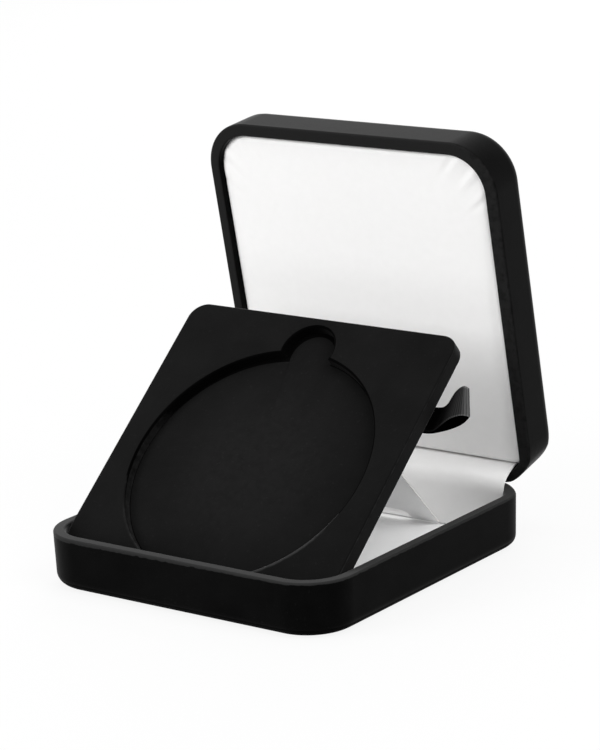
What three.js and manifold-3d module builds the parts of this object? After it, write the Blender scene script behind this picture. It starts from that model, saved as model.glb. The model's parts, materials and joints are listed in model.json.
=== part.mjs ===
// A presentation case for one round medal, open and set up for display.
// Two moulded, flocked shells meet at a sprung hinge. The lid holds a satin pad. A velour tray with a
// round recess turns up on two pins at its front edge and leans on a folding card stay.
// Millimetres, +Z up. The origin is the middle of the underside; +Y points to the hinge, +X to the
// side where the ribbon pull hangs out. The pose is the display pose: lid open, tray raised.

import * as THREE from "three";
import { mergeVertices } from "three/addons/utils/BufferGeometryUtils.js";
import Module from "manifold-3d";

const wasm = await Module();
wasm.setup();

// Driving dimensions: the medal's recess sets the tray, and the tray sets the case.

// Recess for the medal, and the notch for its lug
const recessRadius = 38;
const recessDepth = 3.1;
const recessSideBorder = 8.3; // tray left beside the recess
const recessFrontBorder = 1.8; // tray left between the recess and the pivot
const lugNotchRadius = 8.2;
const lugNotchOffset = 1.1; // its centre outside the recess's circle
const lugRearBorder = 2.9; // tray left behind the notch

// Tray
const trayThickness = 4.6;
const trayTiltDeg = 40;
const trayPivotHeight = 6.5;
const traySideGap = 0.3;
const trayFrontGap = 0.4;
const trayRearGap = 0.6;
const trayFrontCornerRadius = 14;
const trayRearCornerRadius = 5.5;
const trayEdgeRadius = 0.5;
const backingThickness = 0.5;
const backingInset = 3;
const pivotPinRadius = 1;
const pivotPinGripLength = 4; // inside the tray
const socketWallThickness = 2.9; // left outside the socket, at the pin's axis

// Both shells of the case
const cornerRadius = 14.5; // upright corners, at the rims
const wall = 3.4; // wall thickness at the rim, flock included
const rimRadius = 1; // soft edges of the rims
const rimGap = 0.3; // between the rims when the case is shut

// Base shell
const baseHeight = 15.5;
const baseFloorThickness = 1.3;
const baseDraftDeg = 1.5;
const baseFootRadius = 3.5;
const baseInsideRadius = 1;

// Lid shell
const lidHeight = 15;
const lidTopThickness = 1.6;
const lidDraftDeg = 3.5;
const lidCrownRadius = 4.5;
const lidInsideRadius = 2;
const lidOpenDeg = 80;

// Hinge
const hingeInset = 0.7; // axis to the rear face of the rims
const hingeLength = 56;
const knuckleRadius = 1.2;
const knuckleBoreRadius = 0.8;
const knuckleCount = 5;
const hingePinRadius = 0.5;
const leafThickness = 0.5;
const leafLength = 60;
const leafHeight = 8.5; // leaf below its tabs
const rivetEdgeDistance = 8; // from the leaf's ends
const rivetHeadRadius = 1.5;
const rivetHeadHeight = 0.6;
const rivetShankRadius = 0.6;
const rivetGripLength = 1.8; // shank inside the wall
const springWidth = 8;
const springThickness = 0.3;
const springOffset = 0.9; // how far its middle stands off the leaves
const springFootLength = 2.5;

// White lining
const floorCardThickness = 0.5;
const rearCardThickness = 0.4;
const stripThickness = 0.4;
const stripOffset = 3.3; // strip's face to the rear wall, at the floor
const stripLeanOffset = 0.6; // how far it leans in at the rim
const stripShoulderDepth = 1.3; // below the rim, where it starts to turn
const stripTurnHeight = 4.4; // pull of the turn, up from the base
const stripTurnDepth = 4.7; // pull of the turn, back to the lid
const stripTuckDepth = 4.4; // end folded in beside the pad

// Lid pad
const padSeamHeight = 6.4; // hinge axis to the pad's lower edge, up the open lid
const padCrownDepth = 1; // below the lid's rim
const padShoulderDepth = 1.9;
const padEdgeDepth = 5;
const padRollWidth = 3.2; // width of the rolled edge
const padDrawDepth = 0.5; // how far the sides draw in between the corners
const padCardThickness = 1;

// Stay
const stayWidth = 43;
const stayThickness = 0.6;
const staySlopeDeg = 46.8;
const stayArchWidth = 24;
const stayArchHeight = 4.3;
const stayArchRadius = 2;

// Ribbon pull
const ribbonWidth = 8.2;
const ribbonThickness = 0.5;
const ribbonRearDistance = 24.5; // its middle to the tray's rear edge
const ribbonTailLength = 7; // glued under the tray
const ribbonLength = 13.1; // out from the tray's side
const ribbonLoopWidth = 3.2; // opening of the loop
const ribbonLiftHeight = 6.9; // how far the fold stands up

// Clearances
const seatGap = 0.3; // between pieces that rest on, or are glued to, each other
const sideGap = 0.4; // linings and pad to the walls
const stayGap = 0.4; // stay's foot to the strip
const seamGap = 0.4; // strip's end to the pad
const overrunLength = 1; // cuts run past the faces that they open

// Counts of facets
const cornerSteps = 8;
const sideSteps = 5;
const roundSteps = 3;
const recessSteps = 56;
const notchSteps = 14;
const barrelSteps = 16;
const padCrownRings = 5;
const stripSteps = 12;
const ribbonSteps = 42;

// Sizes that follow from the recess outward
const recessCentre = recessFrontBorder + recessRadius; // from the pivot
const lugNotchCentre = recessCentre + recessRadius + lugNotchOffset;
const trayLength = lugNotchCentre + lugNotchRadius + lugRearBorder; // from the pivot
const trayWidth = 2 * (recessRadius + recessSideBorder);
const caseWidth = trayWidth + 2 * (traySideGap + wall);
const insideFront = trayFrontGap + trayThickness / 2; // front wall to the pivot
const insideRear = trayRearGap + stripLeanOffset + stripOffset; // tray's rear edge to the rear wall
const caseDepth = insideFront + trayLength + insideRear + 2 * wall;

// Heights and places that several pieces share
const radians = THREE.MathUtils.degToRad;
const floorTop = baseFloorThickness + floorCardThickness;
const lidRim = baseHeight + rimGap;
const rearWallInside = caseDepth / 2 - wall;
const hingeY = caseDepth / 2 - hingeInset;
const hingeZ = baseHeight + rimGap / 2;
const lidOpen = radians(lidOpenDeg);
const trayTilt = radians(trayTiltDeg);
const trayPivotY = insideFront - rearWallInside;
const stripFaceY = rearWallInside - stripOffset;
const stripHalfWidth = caseHalfWidthAt(stripFaceY + stripThickness, wall) - sideGap;
const seamY = hingeY - padSeamHeight;
const rivetX = leafLength / 2 - rivetEdgeDistance;
const knucklePitch = (hingeLength + seatGap) / knuckleCount;

// A closed geometry as a manifold-3d solid, and back.
function solidOf(geometry) {
  const bare = geometry.clone();
  bare.deleteAttribute("normal");
  bare.deleteAttribute("uv");
  const merged = mergeVertices(bare);
  const mesh = new wasm.Mesh({
    numProp: 3,
    vertProperties: new Float32Array(merged.attributes.position.array),
    triVerts: new Uint32Array(merged.index.array),
  });
  return new wasm.Manifold(mesh);
}

function geometryOf(solid) {
  const mesh = solid.getMesh();
  const geometry = new THREE.BufferGeometry();
  geometry.setAttribute("position", new THREE.BufferAttribute(mesh.vertProperties, 3));
  geometry.setIndex(new THREE.BufferAttribute(mesh.triVerts, 1));
  return geometry;
}

// One geometry joined from several, less those that cut it.
function combine(bodies, cuts = []) {
  const joined = bodies.map(solidOf).reduce((all, next) => all.add(next));
  return geometryOf(cuts.map(solidOf).reduce((rest, cut) => rest.subtract(cut), joined));
}

function overlapOf(first, second) {
  return geometryOf(solidOf(first).intersect(solidOf(second)));
}

// Anticlockwise points of an upright rectangle whose two front and two rear corners are round.
function roundedRectangle(halfX, frontY, rearY, frontRadius, rearRadius = frontRadius) {
  const corners = [
    { x: halfX - frontRadius, y: frontY + frontRadius, radius: frontRadius, start: -90 },
    { x: halfX - rearRadius, y: rearY - rearRadius, radius: rearRadius, start: 0 },
    { x: rearRadius - halfX, y: rearY - rearRadius, radius: rearRadius, start: 90 },
    { x: frontRadius - halfX, y: frontY + frontRadius, radius: frontRadius, start: 180 },
  ];
  const points = [];
  for (const { x, y, radius, start } of corners) {
    for (let i = 0; i <= cornerSteps; i++) {
      const angle = radians(start + (90 * i) / cornerSteps);
      points.push(new THREE.Vector2(x + radius * Math.cos(angle), y + radius * Math.sin(angle)));
    }
  }
  return points;
}

// The case's outline, moved in by an inset.
function caseOutline(inset) {
  const halfDepth = caseDepth / 2 - inset;
  return roundedRectangle(caseWidth / 2 - inset, -halfDepth, halfDepth, cornerRadius - inset);
}

// Half the width of that outline at one place along Y.
function caseHalfWidthAt(y, inset) {
  const radius = cornerRadius - inset;
  const past = Math.max(0, Math.abs(y) - (caseDepth / 2 - cornerRadius));
  return caseWidth / 2 - cornerRadius + Math.sqrt(radius * radius - past * past);
}

// A closed body through outlines of equal count, stacked along Z.
function loft(rings) {
  const upward = rings[0].z < rings[rings.length - 1].z ? rings : [...rings].reverse();
  const count = upward[0].points.length;
  const positions = upward.flatMap(({ points, z }) => points.flatMap((p) => [p.x, p.y, z]));
  const faces = [];
  for (let k = 0; k + 1 < upward.length; k++) {
    for (let i = 0; i < count; i++) {
      const a = k * count + i;
      const b = k * count + ((i + 1) % count);
      faces.push(a, b, b + count, a, b + count, a + count);
    }
  }
  const top = (upward.length - 1) * count;
  for (let i = 1; i + 1 < count; i++) {
    faces.push(0, i + 1, i, top, top + i, top + i + 1);
  }
  const geometry = new THREE.BufferGeometry();
  geometry.setAttribute("position", new THREE.Float32BufferAttribute(positions, 3));
  geometry.setIndex(faces);
  return geometry;
}

// A flat outline given a thickness upward from a height.
function plate(points, bottom, thickness, holes = []) {
  const shape = new THREE.Shape(points);
  shape.holes = holes.map((hole) => new THREE.Path(hole));
  const geometry = new THREE.ExtrudeGeometry(shape, { depth: thickness, bevelEnabled: false });
  return geometry.translate(0, 0, bottom);
}

// A section in the YZ plane, drawn as (y, z), run along X about the middle or from a start.
function section(points, length, startX = -length / 2, holes = []) {
  const along = new THREE.Matrix4().makeBasis(
    new THREE.Vector3(0, 1, 0),
    new THREE.Vector3(0, 0, 1),
    new THREE.Vector3(1, 0, 0),
  );
  return plate(points, 0, length, holes).applyMatrix4(along).translate(startX, 0, 0);
}

function block(width, depth, height, x, y, z) {
  return new THREE.BoxGeometry(width, depth, height).translate(x, y, z);
}

function circle(radius, steps, centreX = 0, centreY = 0) {
  return Array.from({ length: steps }, (_, i) => {
    const angle = (2 * Math.PI * i) / steps;
    return new THREE.Vector2(centreX + radius * Math.cos(angle), centreY + radius * Math.sin(angle));
  });
}

// A rod along X between two places.
function rod(radius, fromX, toX, y, z) {
  return section(circle(radius, barrelSteps, y, z), toX - fromX, fromX);
}

// A line of (y, z) points given a thickness, as one closed outline.
function thicken(line, thickness) {
  const sides = [[], []];
  line.forEach((point, i) => {
    const before = line[Math.max(0, i - 1)];
    const after = line[Math.min(line.length - 1, i + 1)];
    const across = new THREE.Vector2(before.y - after.y, after.x - before.x).setLength(thickness / 2);
    sides[0].push(point.clone().add(across));
    sides[1].unshift(point.clone().sub(across));
  });
  return sides.flat();
}

const v2 = (x, y) => new THREE.Vector2(x, y);

// Materials
const finish = (color, roughness, metalness = 0) =>
  new THREE.MeshStandardMaterial({ color, roughness, metalness });
const flock = finish(0x17171a, 0.95);
const velour = finish(0x1b1b1d, 0.95);
const satin = finish(0xf2f2f0, 0.45);
const whiteCard = finish(0xe4e4e4, 0.8);
const greyCard = finish(0xb9b4aa, 0.9);
const blackRibbon = finish(0x0f0f10, 0.4);
const springSteel = finish(0xb6babf, 0.35, 1);

// A named piece of the case.
function piece(name, geometry, material) {
  const mesh = new THREE.Mesh(geometry, material);
  mesh.name = name;
  return mesh;
}

// Both shells have one section: an outer face with draft and a round far edge, a rim with soft
// edges, and a cavity. Each pair is an inset from the outline and a distance from the rim.
function outerProfile(height, draftDeg, farRound) {
  const profile = [];
  const lean = Math.tan(radians(draftDeg));
  const turn = (height - farRound - rimRadius) * lean;
  for (let i = 0; i <= 2 * roundSteps; i++) {
    const angle = (Math.PI / 2) * (i / (2 * roundSteps));
    profile.push([turn + farRound * (1 - Math.sin(angle)), height - farRound * (1 - Math.cos(angle))]);
  }
  for (let i = 0; i <= roundSteps; i++) {
    const angle = (Math.PI / 2) * (i / roundSteps);
    profile.push([rimRadius * (1 - Math.cos(angle)), rimRadius * (1 - Math.sin(angle))]);
  }
  return profile;
}

function cavityProfile(depth, insideRound) {
  const profile = [];
  for (let i = 0; i <= roundSteps; i++) {
    const angle = (Math.PI / 2) * (i / roundSteps);
    profile.push([wall + insideRound * (1 - Math.sin(angle)), depth - insideRound * (1 - Math.cos(angle))]);
  }
  for (let i = 0; i <= roundSteps; i++) {
    const angle = (Math.PI / 2) * (i / roundSteps);
    profile.push([wall - rimRadius * (1 - Math.cos(angle)), rimRadius * (1 - Math.sin(angle))]);
  }
  profile.push([wall - rimRadius, -overrunLength]);
  return profile;
}

// Stands a profile's rings on the rim height, downward for the base and upward for the lid.
function shellBody(profile, rim, direction) {
  return loft(profile.map(([inset, away]) => ({ points: caseOutline(inset), z: rim + direction * away })));
}

// The slot in both rear rims where the knuckles lie, and the holes for the rivets.
function hingeCuts(direction) {
  const slotHeight = knuckleRadius + seatGap;
  const cuts = [
    block(
      hingeLength + 2 * seatGap,
      wall + 2 * overrunLength,
      slotHeight,
      0,
      caseDepth / 2 - wall / 2,
      hingeZ + (direction * slotHeight) / 2,
    ),
  ];
  for (const side of [-1, 1]) {
    const hole = new THREE.CylinderGeometry(
      rivetShankRadius + seatGap,
      rivetShankRadius + seatGap,
      rivetGripLength + seatGap + overrunLength,
      barrelSteps,
    );
    const middle = rearWallInside + (rivetGripLength + seatGap - overrunLength) / 2;
    cuts.push(hole.translate(side * rivetX, middle, rivetHeight(direction)));
  }
  return cuts;
}

function rivetHeight(direction) {
  return hingeZ + direction * (knuckleRadius + leafHeight / 2);
}

// Base shell, with the tray's two pivot sockets in its front corners
const socketInner = caseHalfWidthAt(trayPivotY - pivotPinRadius - seatGap, wall);
const socketOuter = caseHalfWidthAt(trayPivotY, 0) - socketWallThickness;

function baseShell() {
  const sockets = [-1, 1].map((side) => {
    const ends = [side * (socketInner - overrunLength), side * socketOuter].sort((a, b) => a - b);
    return rod(pivotPinRadius + seatGap, ends[0], ends[1], trayPivotY, trayPivotHeight);
  });
  const cavity = shellBody(cavityProfile(baseHeight - baseFloorThickness, baseInsideRadius), baseHeight, -1);
  const body = shellBody(outerProfile(baseHeight, baseDraftDeg, baseFootRadius), baseHeight, -1);
  return combine([body], [cavity, ...hingeCuts(-1), ...sockets]);
}

function lidShell() {
  const cavity = shellBody(cavityProfile(lidHeight - lidTopThickness, lidInsideRadius), lidRim, 1);
  const body = shellBody(outerProfile(lidHeight, lidDraftDeg, lidCrownRadius), lidRim, 1);
  return combine([body], [cavity, ...hingeCuts(1)]);
}

// White card on the floor, cut off behind the strip
function floorCard() {
  const inset = wall + baseInsideRadius + seatGap;
  const rear = stripFaceY + stripThickness + rearCardThickness + 2 * seatGap;
  const points = caseOutline(inset).map((p) => v2(p.x, Math.min(p.y, rear)));
  return plate(points, baseFloorThickness, floorCardThickness);
}

// Card that stiffens the strip's standing part and hides the hinge
function rearCard() {
  const bottom = floorTop + seatGap;
  const height = baseHeight - stripShoulderDepth - bottom;
  const face = stripFaceY + stripThickness + seatGap;
  const halfWidth = caseHalfWidthAt(face + rearCardThickness, wall + baseInsideRadius) - sideGap;
  return block(2 * halfWidth, rearCardThickness, height, 0, face + rearCardThickness / 2, bottom + height / 2);
}

// A point of the open lid, given by its rise from the hinge axis and its depth below the lid's rim
function lidPoint(rise, depth) {
  const y = -rise;
  const z = lidRim - hingeZ + depth;
  return v2(
    hingeY + y * Math.cos(lidOpen) + z * Math.sin(lidOpen),
    hingeZ - y * Math.sin(lidOpen) + z * Math.cos(lidOpen),
  );
}

// Satin strip from the floor's rear edge over the hinge to the pad's lower edge
function hingeStrip() {
  const shoulder = v2(stripFaceY - stripLeanOffset, baseHeight - stripShoulderDepth);
  const seam = lidPoint(padSeamHeight - seamGap, padShoulderDepth);
  const tuck = lidPoint(padSeamHeight - seamGap, padShoulderDepth + stripTuckDepth);
  const turn = new THREE.CubicBezierCurve(
    shoulder,
    v2(shoulder.x, shoulder.y + stripTurnHeight),
    v2(seam.x - stripTurnDepth, seam.y - stripTurnDepth / 3),
    seam,
  );
  const foot = v2(stripFaceY + stripThickness / 2, floorTop + seatGap);
  return section(thicken([foot, ...turn.getPoints(stripSteps), tuck], stripThickness), 2 * stripHalfWidth);
}

// Hinge leaf: a plate beside the wall with a tab and a knuckle for each of its turns
function hingeLeaf(direction, ownsFirst) {
  const height = (away) => hingeZ + direction * away;
  const faceY = rearWallInside - seatGap;
  const tabAway = knuckleRadius - leafThickness;
  const body = [
    section(
      [
        v2(faceY - leafThickness, height(tabAway)),
        v2(faceY, height(tabAway)),
        v2(faceY, height(knuckleRadius + leafHeight)),
        v2(faceY - leafThickness, height(knuckleRadius + leafHeight)),
      ],
      leafLength,
    ),
  ];
  const length = knucklePitch - seatGap;
  for (let i = ownsFirst ? 0 : 1; i < knuckleCount; i += 2) {
    const start = -hingeLength / 2 + i * knucklePitch;
    const tab = [
      v2(faceY - leafThickness, height(tabAway)),
      v2(hingeY, height(tabAway)),
      v2(hingeY, height(knuckleRadius)),
      v2(faceY - leafThickness, height(knuckleRadius)),
    ];
    body.push(section(tab, length, start), rod(knuckleRadius, start, start + length, hingeY, hingeZ));
  }
  const bore = rod(knuckleBoreRadius, -hingeLength, hingeLength, hingeY, hingeZ);
  const holes = [-1, 1].map((side) =>
    new THREE.CylinderGeometry(
      rivetShankRadius + seatGap / 2,
      rivetShankRadius + seatGap / 2,
      leafThickness + 2 * overrunLength,
      barrelSteps,
    ).translate(side * rivetX, faceY - leafThickness / 2, rivetHeight(direction)),
  );
  return combine(body, [bore, ...slotsForTabs(direction, ownsFirst), ...holes]);
}

// Room in a leaf's upper edge for the tabs of the other leaf as it turns
function slotsForTabs(direction, ownsFirst) {
  const slots = [];
  for (let i = ownsFirst ? 1 : 0; i < knuckleCount; i += 2) {
    const middle = -hingeLength / 2 + i * knucklePitch + (knucklePitch - seatGap) / 2;
    slots.push(
      block(
        knucklePitch + seatGap,
        leafThickness + 2 * overrunLength,
        knuckleRadius + seatGap,
        middle,
        rearWallInside - seatGap - leafThickness / 2,
        hingeZ + (direction * (knuckleRadius + seatGap)) / 2,
      ),
    );
  }
  return slots;
}

// Domed rivet that fixes a leaf to its shell's rear wall, along Y
function rivet() {
  const profile = [v2(0, -rivetHeadHeight)];
  for (let i = 1; i <= roundSteps; i++) {
    const angle = (Math.PI / 2) * (i / roundSteps);
    profile.push(v2(rivetHeadRadius * Math.sin(angle), -rivetHeadHeight * Math.cos(angle)));
  }
  const shank = leafThickness + 2 * seatGap + rivetGripLength;
  profile.push(v2(rivetShankRadius, 0), v2(rivetShankRadius, shank), v2(0, shank));
  return new THREE.LatheGeometry(profile, barrelSteps);
}

function placedRivet(name, side, direction) {
  const mesh = piece(name, rivet(), springSteel);
  const headFace = rearWallInside - leafThickness - 2 * seatGap;
  mesh.position.set(side * rivetX, headFace, rivetHeight(direction));
  return mesh;
}

// Bowed leaf spring that snaps the lid open and shut, from the base leaf round the axis to the lid leaf
function hingeSpring() {
  const leafFace = hingeY - (rearWallInside - seatGap - leafThickness);
  const footY = hingeY - leafFace - seatGap - springThickness / 2;
  const low = v2(footY, hingeZ - knuckleRadius - leafHeight / 2 - springFootLength);
  const lift = v2(footY - springOffset + springThickness, hingeZ - knuckleRadius);
  const lidFoot = lidPoint(leafFace + seatGap + springThickness / 2, knuckleRadius + leafHeight / 2);
  const lidLift = lidPoint(leafFace + springOffset, knuckleRadius);
  const bow = new THREE.CatmullRomCurve3(
    [low, v2(footY, low.y + springFootLength), lift, lidLift, lidFoot].map((p) => new THREE.Vector3(0, p.x, p.y)),
  );
  const line = bow.getPoints(stripSteps).map((p) => v2(p.y, p.z));
  return section(thicken(line, springThickness), springWidth);
}

// Satin pad in the lid, in the shut lid's place: crown, rolled edge and sides that draw in
function lidPad() {
  const halfX = caseWidth / 2 - wall - sideGap;
  const frontY = -rearWallInside + sideGap;
  const centreY = (frontY + seamY) / 2;
  const halfY = (seamY - frontY) / 2;
  const edge = [];
  const corners = caseOutline(wall + sideGap).map((p) => v2(p.x, Math.min(p.y, seamY)));
  corners.forEach((point, i) => {
    const next = corners[(i + 1) % corners.length];
    const steps = point.distanceTo(next) > cornerRadius ? sideSteps : 1;
    for (let k = 0; k < steps; k++) edge.push(point.clone().lerp(next, k / steps));
  });
  const drawn = edge.map((p) => {
    const across = p.x / halfX;
    const along = (p.y - centreY) / halfY;
    const pullX = (padDrawDepth / halfX) * Math.max(0, 1 - along * along);
    const pullY = (padDrawDepth / halfY) * Math.max(0, 1 - across * across);
    return v2(p.x * (1 - pullX), (p.y - centreY) * (1 - pullY));
  });
  const ring = (inset, depth) => ({
    points: drawn.map((p) => v2(p.x * (1 - inset / halfX), centreY + p.y * (1 - inset / halfY))),
    z: lidRim + depth,
  });
  const rings = [];
  for (let i = 1; i <= padCrownRings; i++) {
    const out = i / (padCrownRings + 1);
    const depth = padCrownDepth + (padShoulderDepth - padCrownDepth) * out * out;
    rings.push(ring((halfX - padRollWidth) * (1 - out) + padRollWidth, depth));
  }
  for (let i = roundSteps; i >= 0; i--) {
    const angle = (Math.PI / 2) * (i / roundSteps);
    const rolled = padEdgeDepth - (padEdgeDepth - padShoulderDepth) * Math.sin(angle);
    rings.push(ring(padRollWidth * (1 - Math.cos(angle)), rolled));
  }
  rings.push(ring(0, lidHeight - lidTopThickness - 2 * seatGap - padCardThickness));
  return loft(rings);
}

function padCard() {
  const rear = seamY;
  const points = caseOutline(wall + lidInsideRadius).map((p) => v2(p.x, Math.min(p.y, rear)));
  const top = lidRim + lidHeight - lidTopThickness - seatGap;
  return plate(points, top - padCardThickness, padCardThickness);
}

// The recess: a circle for the medal, run into a smaller one for the medal's lug
function recessOutline(inset) {
  const large = recessRadius - inset;
  const small = lugNotchRadius - inset;
  const apart = lugNotchCentre - recessCentre;
  const largeTurn = Math.acos((large * large + apart * apart - small * small) / (2 * large * apart));
  const smallTurn = Math.acos((small * small + apart * apart - large * large) / (2 * small * apart));
  const points = [];
  for (let i = 0; i <= recessSteps; i++) {
    const angle = Math.PI / 2 + largeTurn + (2 * (Math.PI - largeTurn) * i) / recessSteps;
    points.push(v2(large * Math.cos(angle), recessCentre + large * Math.sin(angle)));
  }
  for (let i = 1; i < notchSteps; i++) {
    const angle = smallTurn - Math.PI / 2 + (2 * (Math.PI - smallTurn) * i) / notchSteps;
    points.push(v2(small * Math.cos(angle), lugNotchCentre + small * Math.sin(angle)));
  }
  return points;
}

function trayOutline(inset) {
  return roundedRectangle(
    trayWidth / 2 - inset,
    inset - trayThickness / 2,
    trayLength - inset,
    trayFrontCornerRadius - inset,
    trayRearCornerRadius - inset,
  );
}

// Velour tray, lying flat with its pivot axis along X at the origin
function trayPlatform() {
  const shape = new THREE.Shape(trayOutline(0));
  shape.holes = [new THREE.Path(recessOutline(0))];
  const body = new THREE.ExtrudeGeometry(shape, {
    depth: trayThickness - 2 * trayEdgeRadius,
    bevelThickness: trayEdgeRadius,
    bevelSize: trayEdgeRadius,
    bevelOffset: -trayEdgeRadius,
    bevelSegments: 2,
  }).translate(0, 0, trayEdgeRadius - trayThickness / 2);
  const half = trayThickness / 2;
  const nose = [v2(trayLength + overrunLength, -half), v2(trayLength + overrunLength, half)];
  for (let i = 0; i <= barrelSteps; i++) {
    const angle = Math.PI / 2 + (Math.PI * i) / barrelSteps;
    nose.push(v2(half * Math.cos(angle), half * Math.sin(angle)));
  }
  const pinHoles = [-1, 1].map((side) => {
    const ends = [side * (trayPinInner - seatGap), side * caseWidth].sort((a, b) => a - b);
    return rod(pivotPinRadius + seatGap, ends[0], ends[1], 0, 0);
  });
  return combine([overlapOf(body, section(nose, caseWidth))], pinHoles);
}

// Where the tray's rounded side stands at the pivot, and the pin's inner end
const trayNoseHalfWidth =
  trayWidth / 2 -
  trayFrontCornerRadius +
  Math.sqrt(trayFrontCornerRadius ** 2 - (trayFrontCornerRadius - trayThickness / 2) ** 2);
const trayPinInner = trayNoseHalfWidth - pivotPinGripLength;

function pivotPin(side) {
  const ends = [side * trayPinInner, side * (socketOuter - seatGap)].sort((a, b) => a - b);
  return rod(pivotPinRadius, ends[0], ends[1], 0, 0);
}

// Velour-covered card that closes the recess from behind
function recessFloor() {
  const top = trayThickness / 2 - recessDepth;
  return plate(recessOutline(seatGap), -trayThickness / 2, top + trayThickness / 2);
}

// White card on the tray's back, notched for the ribbon's tails
function trayBacking() {
  const top = -trayThickness / 2 - seatGap;
  const card = plate(trayOutline(backingInset), top - backingThickness, backingThickness);
  const notchFrom = trayWidth / 2 - ribbonTailLength - seatGap;
  const notch = block(
    caseWidth,
    ribbonWidth + 2 * seatGap,
    backingThickness + 2 * overrunLength,
    notchFrom + caseWidth / 2,
    trayLength - ribbonRearDistance,
    top - backingThickness / 2,
  );
  return combine([card], [notch]);
}

// Folding card stay, in the plane of the raised card: its foot is arched and stands at the strip,
// its top edge meets the tray's backing
function trayStay() {
  const slope = radians(staySlopeDeg);
  const footY = stripFaceY - stayGap - stayThickness * Math.sin(slope);
  const footZ = floorTop + seatGap;
  const depthAtBack = trayThickness / 2 + seatGap + backingThickness + seatGap;
  const away = v2(footY - trayPivotY, footZ - trayPivotHeight);
  const across = -away.x * Math.sin(trayTilt) + away.y * Math.cos(trayTilt);
  const length = (-depthAtBack - across) / Math.sin(slope + trayTilt);
  const half = stayWidth / 2;
  const arch = stayArchWidth / 2;
  const points = [v2(half, 0), v2(half, length), v2(-half, length), v2(-half, 0), v2(-arch, 0)];
  for (let i = 0; i <= roundSteps; i++) {
    const angle = Math.PI - (Math.PI / 2) * (i / roundSteps);
    const x = -arch + stayArchRadius + stayArchRadius * Math.cos(angle);
    points.push(v2(x, stayArchHeight - stayArchRadius + stayArchRadius * Math.sin(angle)));
  }
  const mirrored = points.slice(5).map((p) => v2(-p.x, p.y));
  points.push(...mirrored.reverse(), v2(arch, 0));
  const card = plate(points, 0, stayThickness);
  card.rotateX(slope).rotateZ(Math.PI);
  return card.translate(0, footY, footZ);
}

// Ribbon pull in the tray's frame: out from under the side, round an upright fold, and back. The
// course holds shares of the pull's reach outward, its sway to the rear, its lift and its turn
// from the tray's slope to upright: the lower layer first, then the upper one from the fold.
function ribbonPull() {
  const side = trayWidth / 2;
  const under = -trayThickness / 2 - seatGap - ribbonThickness / 2;
  const lower = under - seatGap - ribbonThickness;
  const courseShares = [
    [0.3, 1, 0.09, 0.1],
    [0.5, 1.1, 0.28, 0.4],
    [0.67, 1.1, 0.45, 0.62],
    [0.85, 0.9, 0.67, 0.85],
    [0.96, 0.6, 0.9, 0.97],
    [1, 0, 1, 1],
    [0.94, -0.5, 1, 0.95],
    [0.7, -0.7, 0.91, 0.65],
    [0.57, -0.5, 0.73, 0.5],
    [0.46, -0.4, 0.5, 0.3],
    [0.33, -0.25, 0.25, 0.1],
  ];
  const ribbonPlace = trayLength - ribbonRearDistance;
  const straight = [side - ribbonTailLength, side - ribbonThickness];
  const places = courseShares.map(([out, sway, lift]) =>
    new THREE.Vector3(out * ribbonLength, (sway * ribbonLoopWidth) / 2, lift * ribbonLiftHeight)
      .applyAxisAngle(new THREE.Vector3(1, 0, 0), -trayTilt)
      .add(new THREE.Vector3(side, ribbonPlace, (under + lower) / 2)),
  );
  places.unshift(...straight.map((x) => new THREE.Vector3(x, ribbonPlace, lower)));
  places.push(...[...straight].reverse().map((x) => new THREE.Vector3(x, ribbonPlace, under)));
  const turns = [0, 0, ...courseShares.map((shares) => shares[3]), 0, 0];
  const curve = new THREE.CatmullRomCurve3(places, false, "centripetal");
  const positions = [];
  for (let i = 0; i <= ribbonSteps; i++) {
    const share = i / ribbonSteps;
    const at = curve.getPoint(share);
    const place = share * (turns.length - 1);
    const before = Math.floor(place);
    const after = Math.min(before + 1, turns.length - 1);
    const turn = (Math.PI / 2 - trayTilt) * THREE.MathUtils.lerp(turns[before], turns[after], place - before);
    const across = new THREE.Vector3(0, Math.cos(turn), Math.sin(turn));
    const normal = curve.getTangent(share).cross(across).setLength(ribbonThickness / 2);
    across.setLength(ribbonWidth / 2);
    for (const [a, b] of [[-1, -1], [1, -1], [1, 1], [-1, 1]]) {
      positions.push(...at.clone().addScaledVector(across, a).addScaledVector(normal, b).toArray());
    }
  }
  return sweep(positions, 4);
}

// A closed tube of faces through rings of equal count, given as one list of coordinates
function sweep(positions, count) {
  const rings = positions.length / (3 * count);
  const faces = [];
  for (let k = 0; k + 1 < rings; k++) {
    for (let i = 0; i < count; i++) {
      const a = k * count + i;
      const b = k * count + ((i + 1) % count);
      faces.push(a, b, b + count, a, b + count, a + count);
    }
  }
  const last = (rings - 1) * count;
  for (let i = 1; i + 1 < count; i++) faces.push(0, i + 1, i, last, last + i, last + i + 1);
  const geometry = new THREE.BufferGeometry();
  geometry.setAttribute("position", new THREE.Float32BufferAttribute(positions, 3));
  geometry.setIndex(faces);
  return geometry;
}

// The lid's pieces are made in the shut position and turned open about the hinge axis.
function openLid(pieces) {
  const turned = new THREE.Group();
  turned.position.set(0, hingeY, hingeZ);
  turned.rotation.x = -lidOpen;
  const shut = new THREE.Group();
  shut.position.set(0, -hingeY, -hingeZ);
  shut.add(...pieces);
  turned.add(shut);
  return turned;
}

// The tray's pieces are made lying flat and turned up about the pivot axis.
function raiseTray(pieces) {
  const raised = new THREE.Group();
  raised.position.set(0, trayPivotY, trayPivotHeight);
  raised.rotation.x = trayTilt;
  raised.add(...pieces);
  return raised;
}

const medalCase = new THREE.Group();

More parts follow.
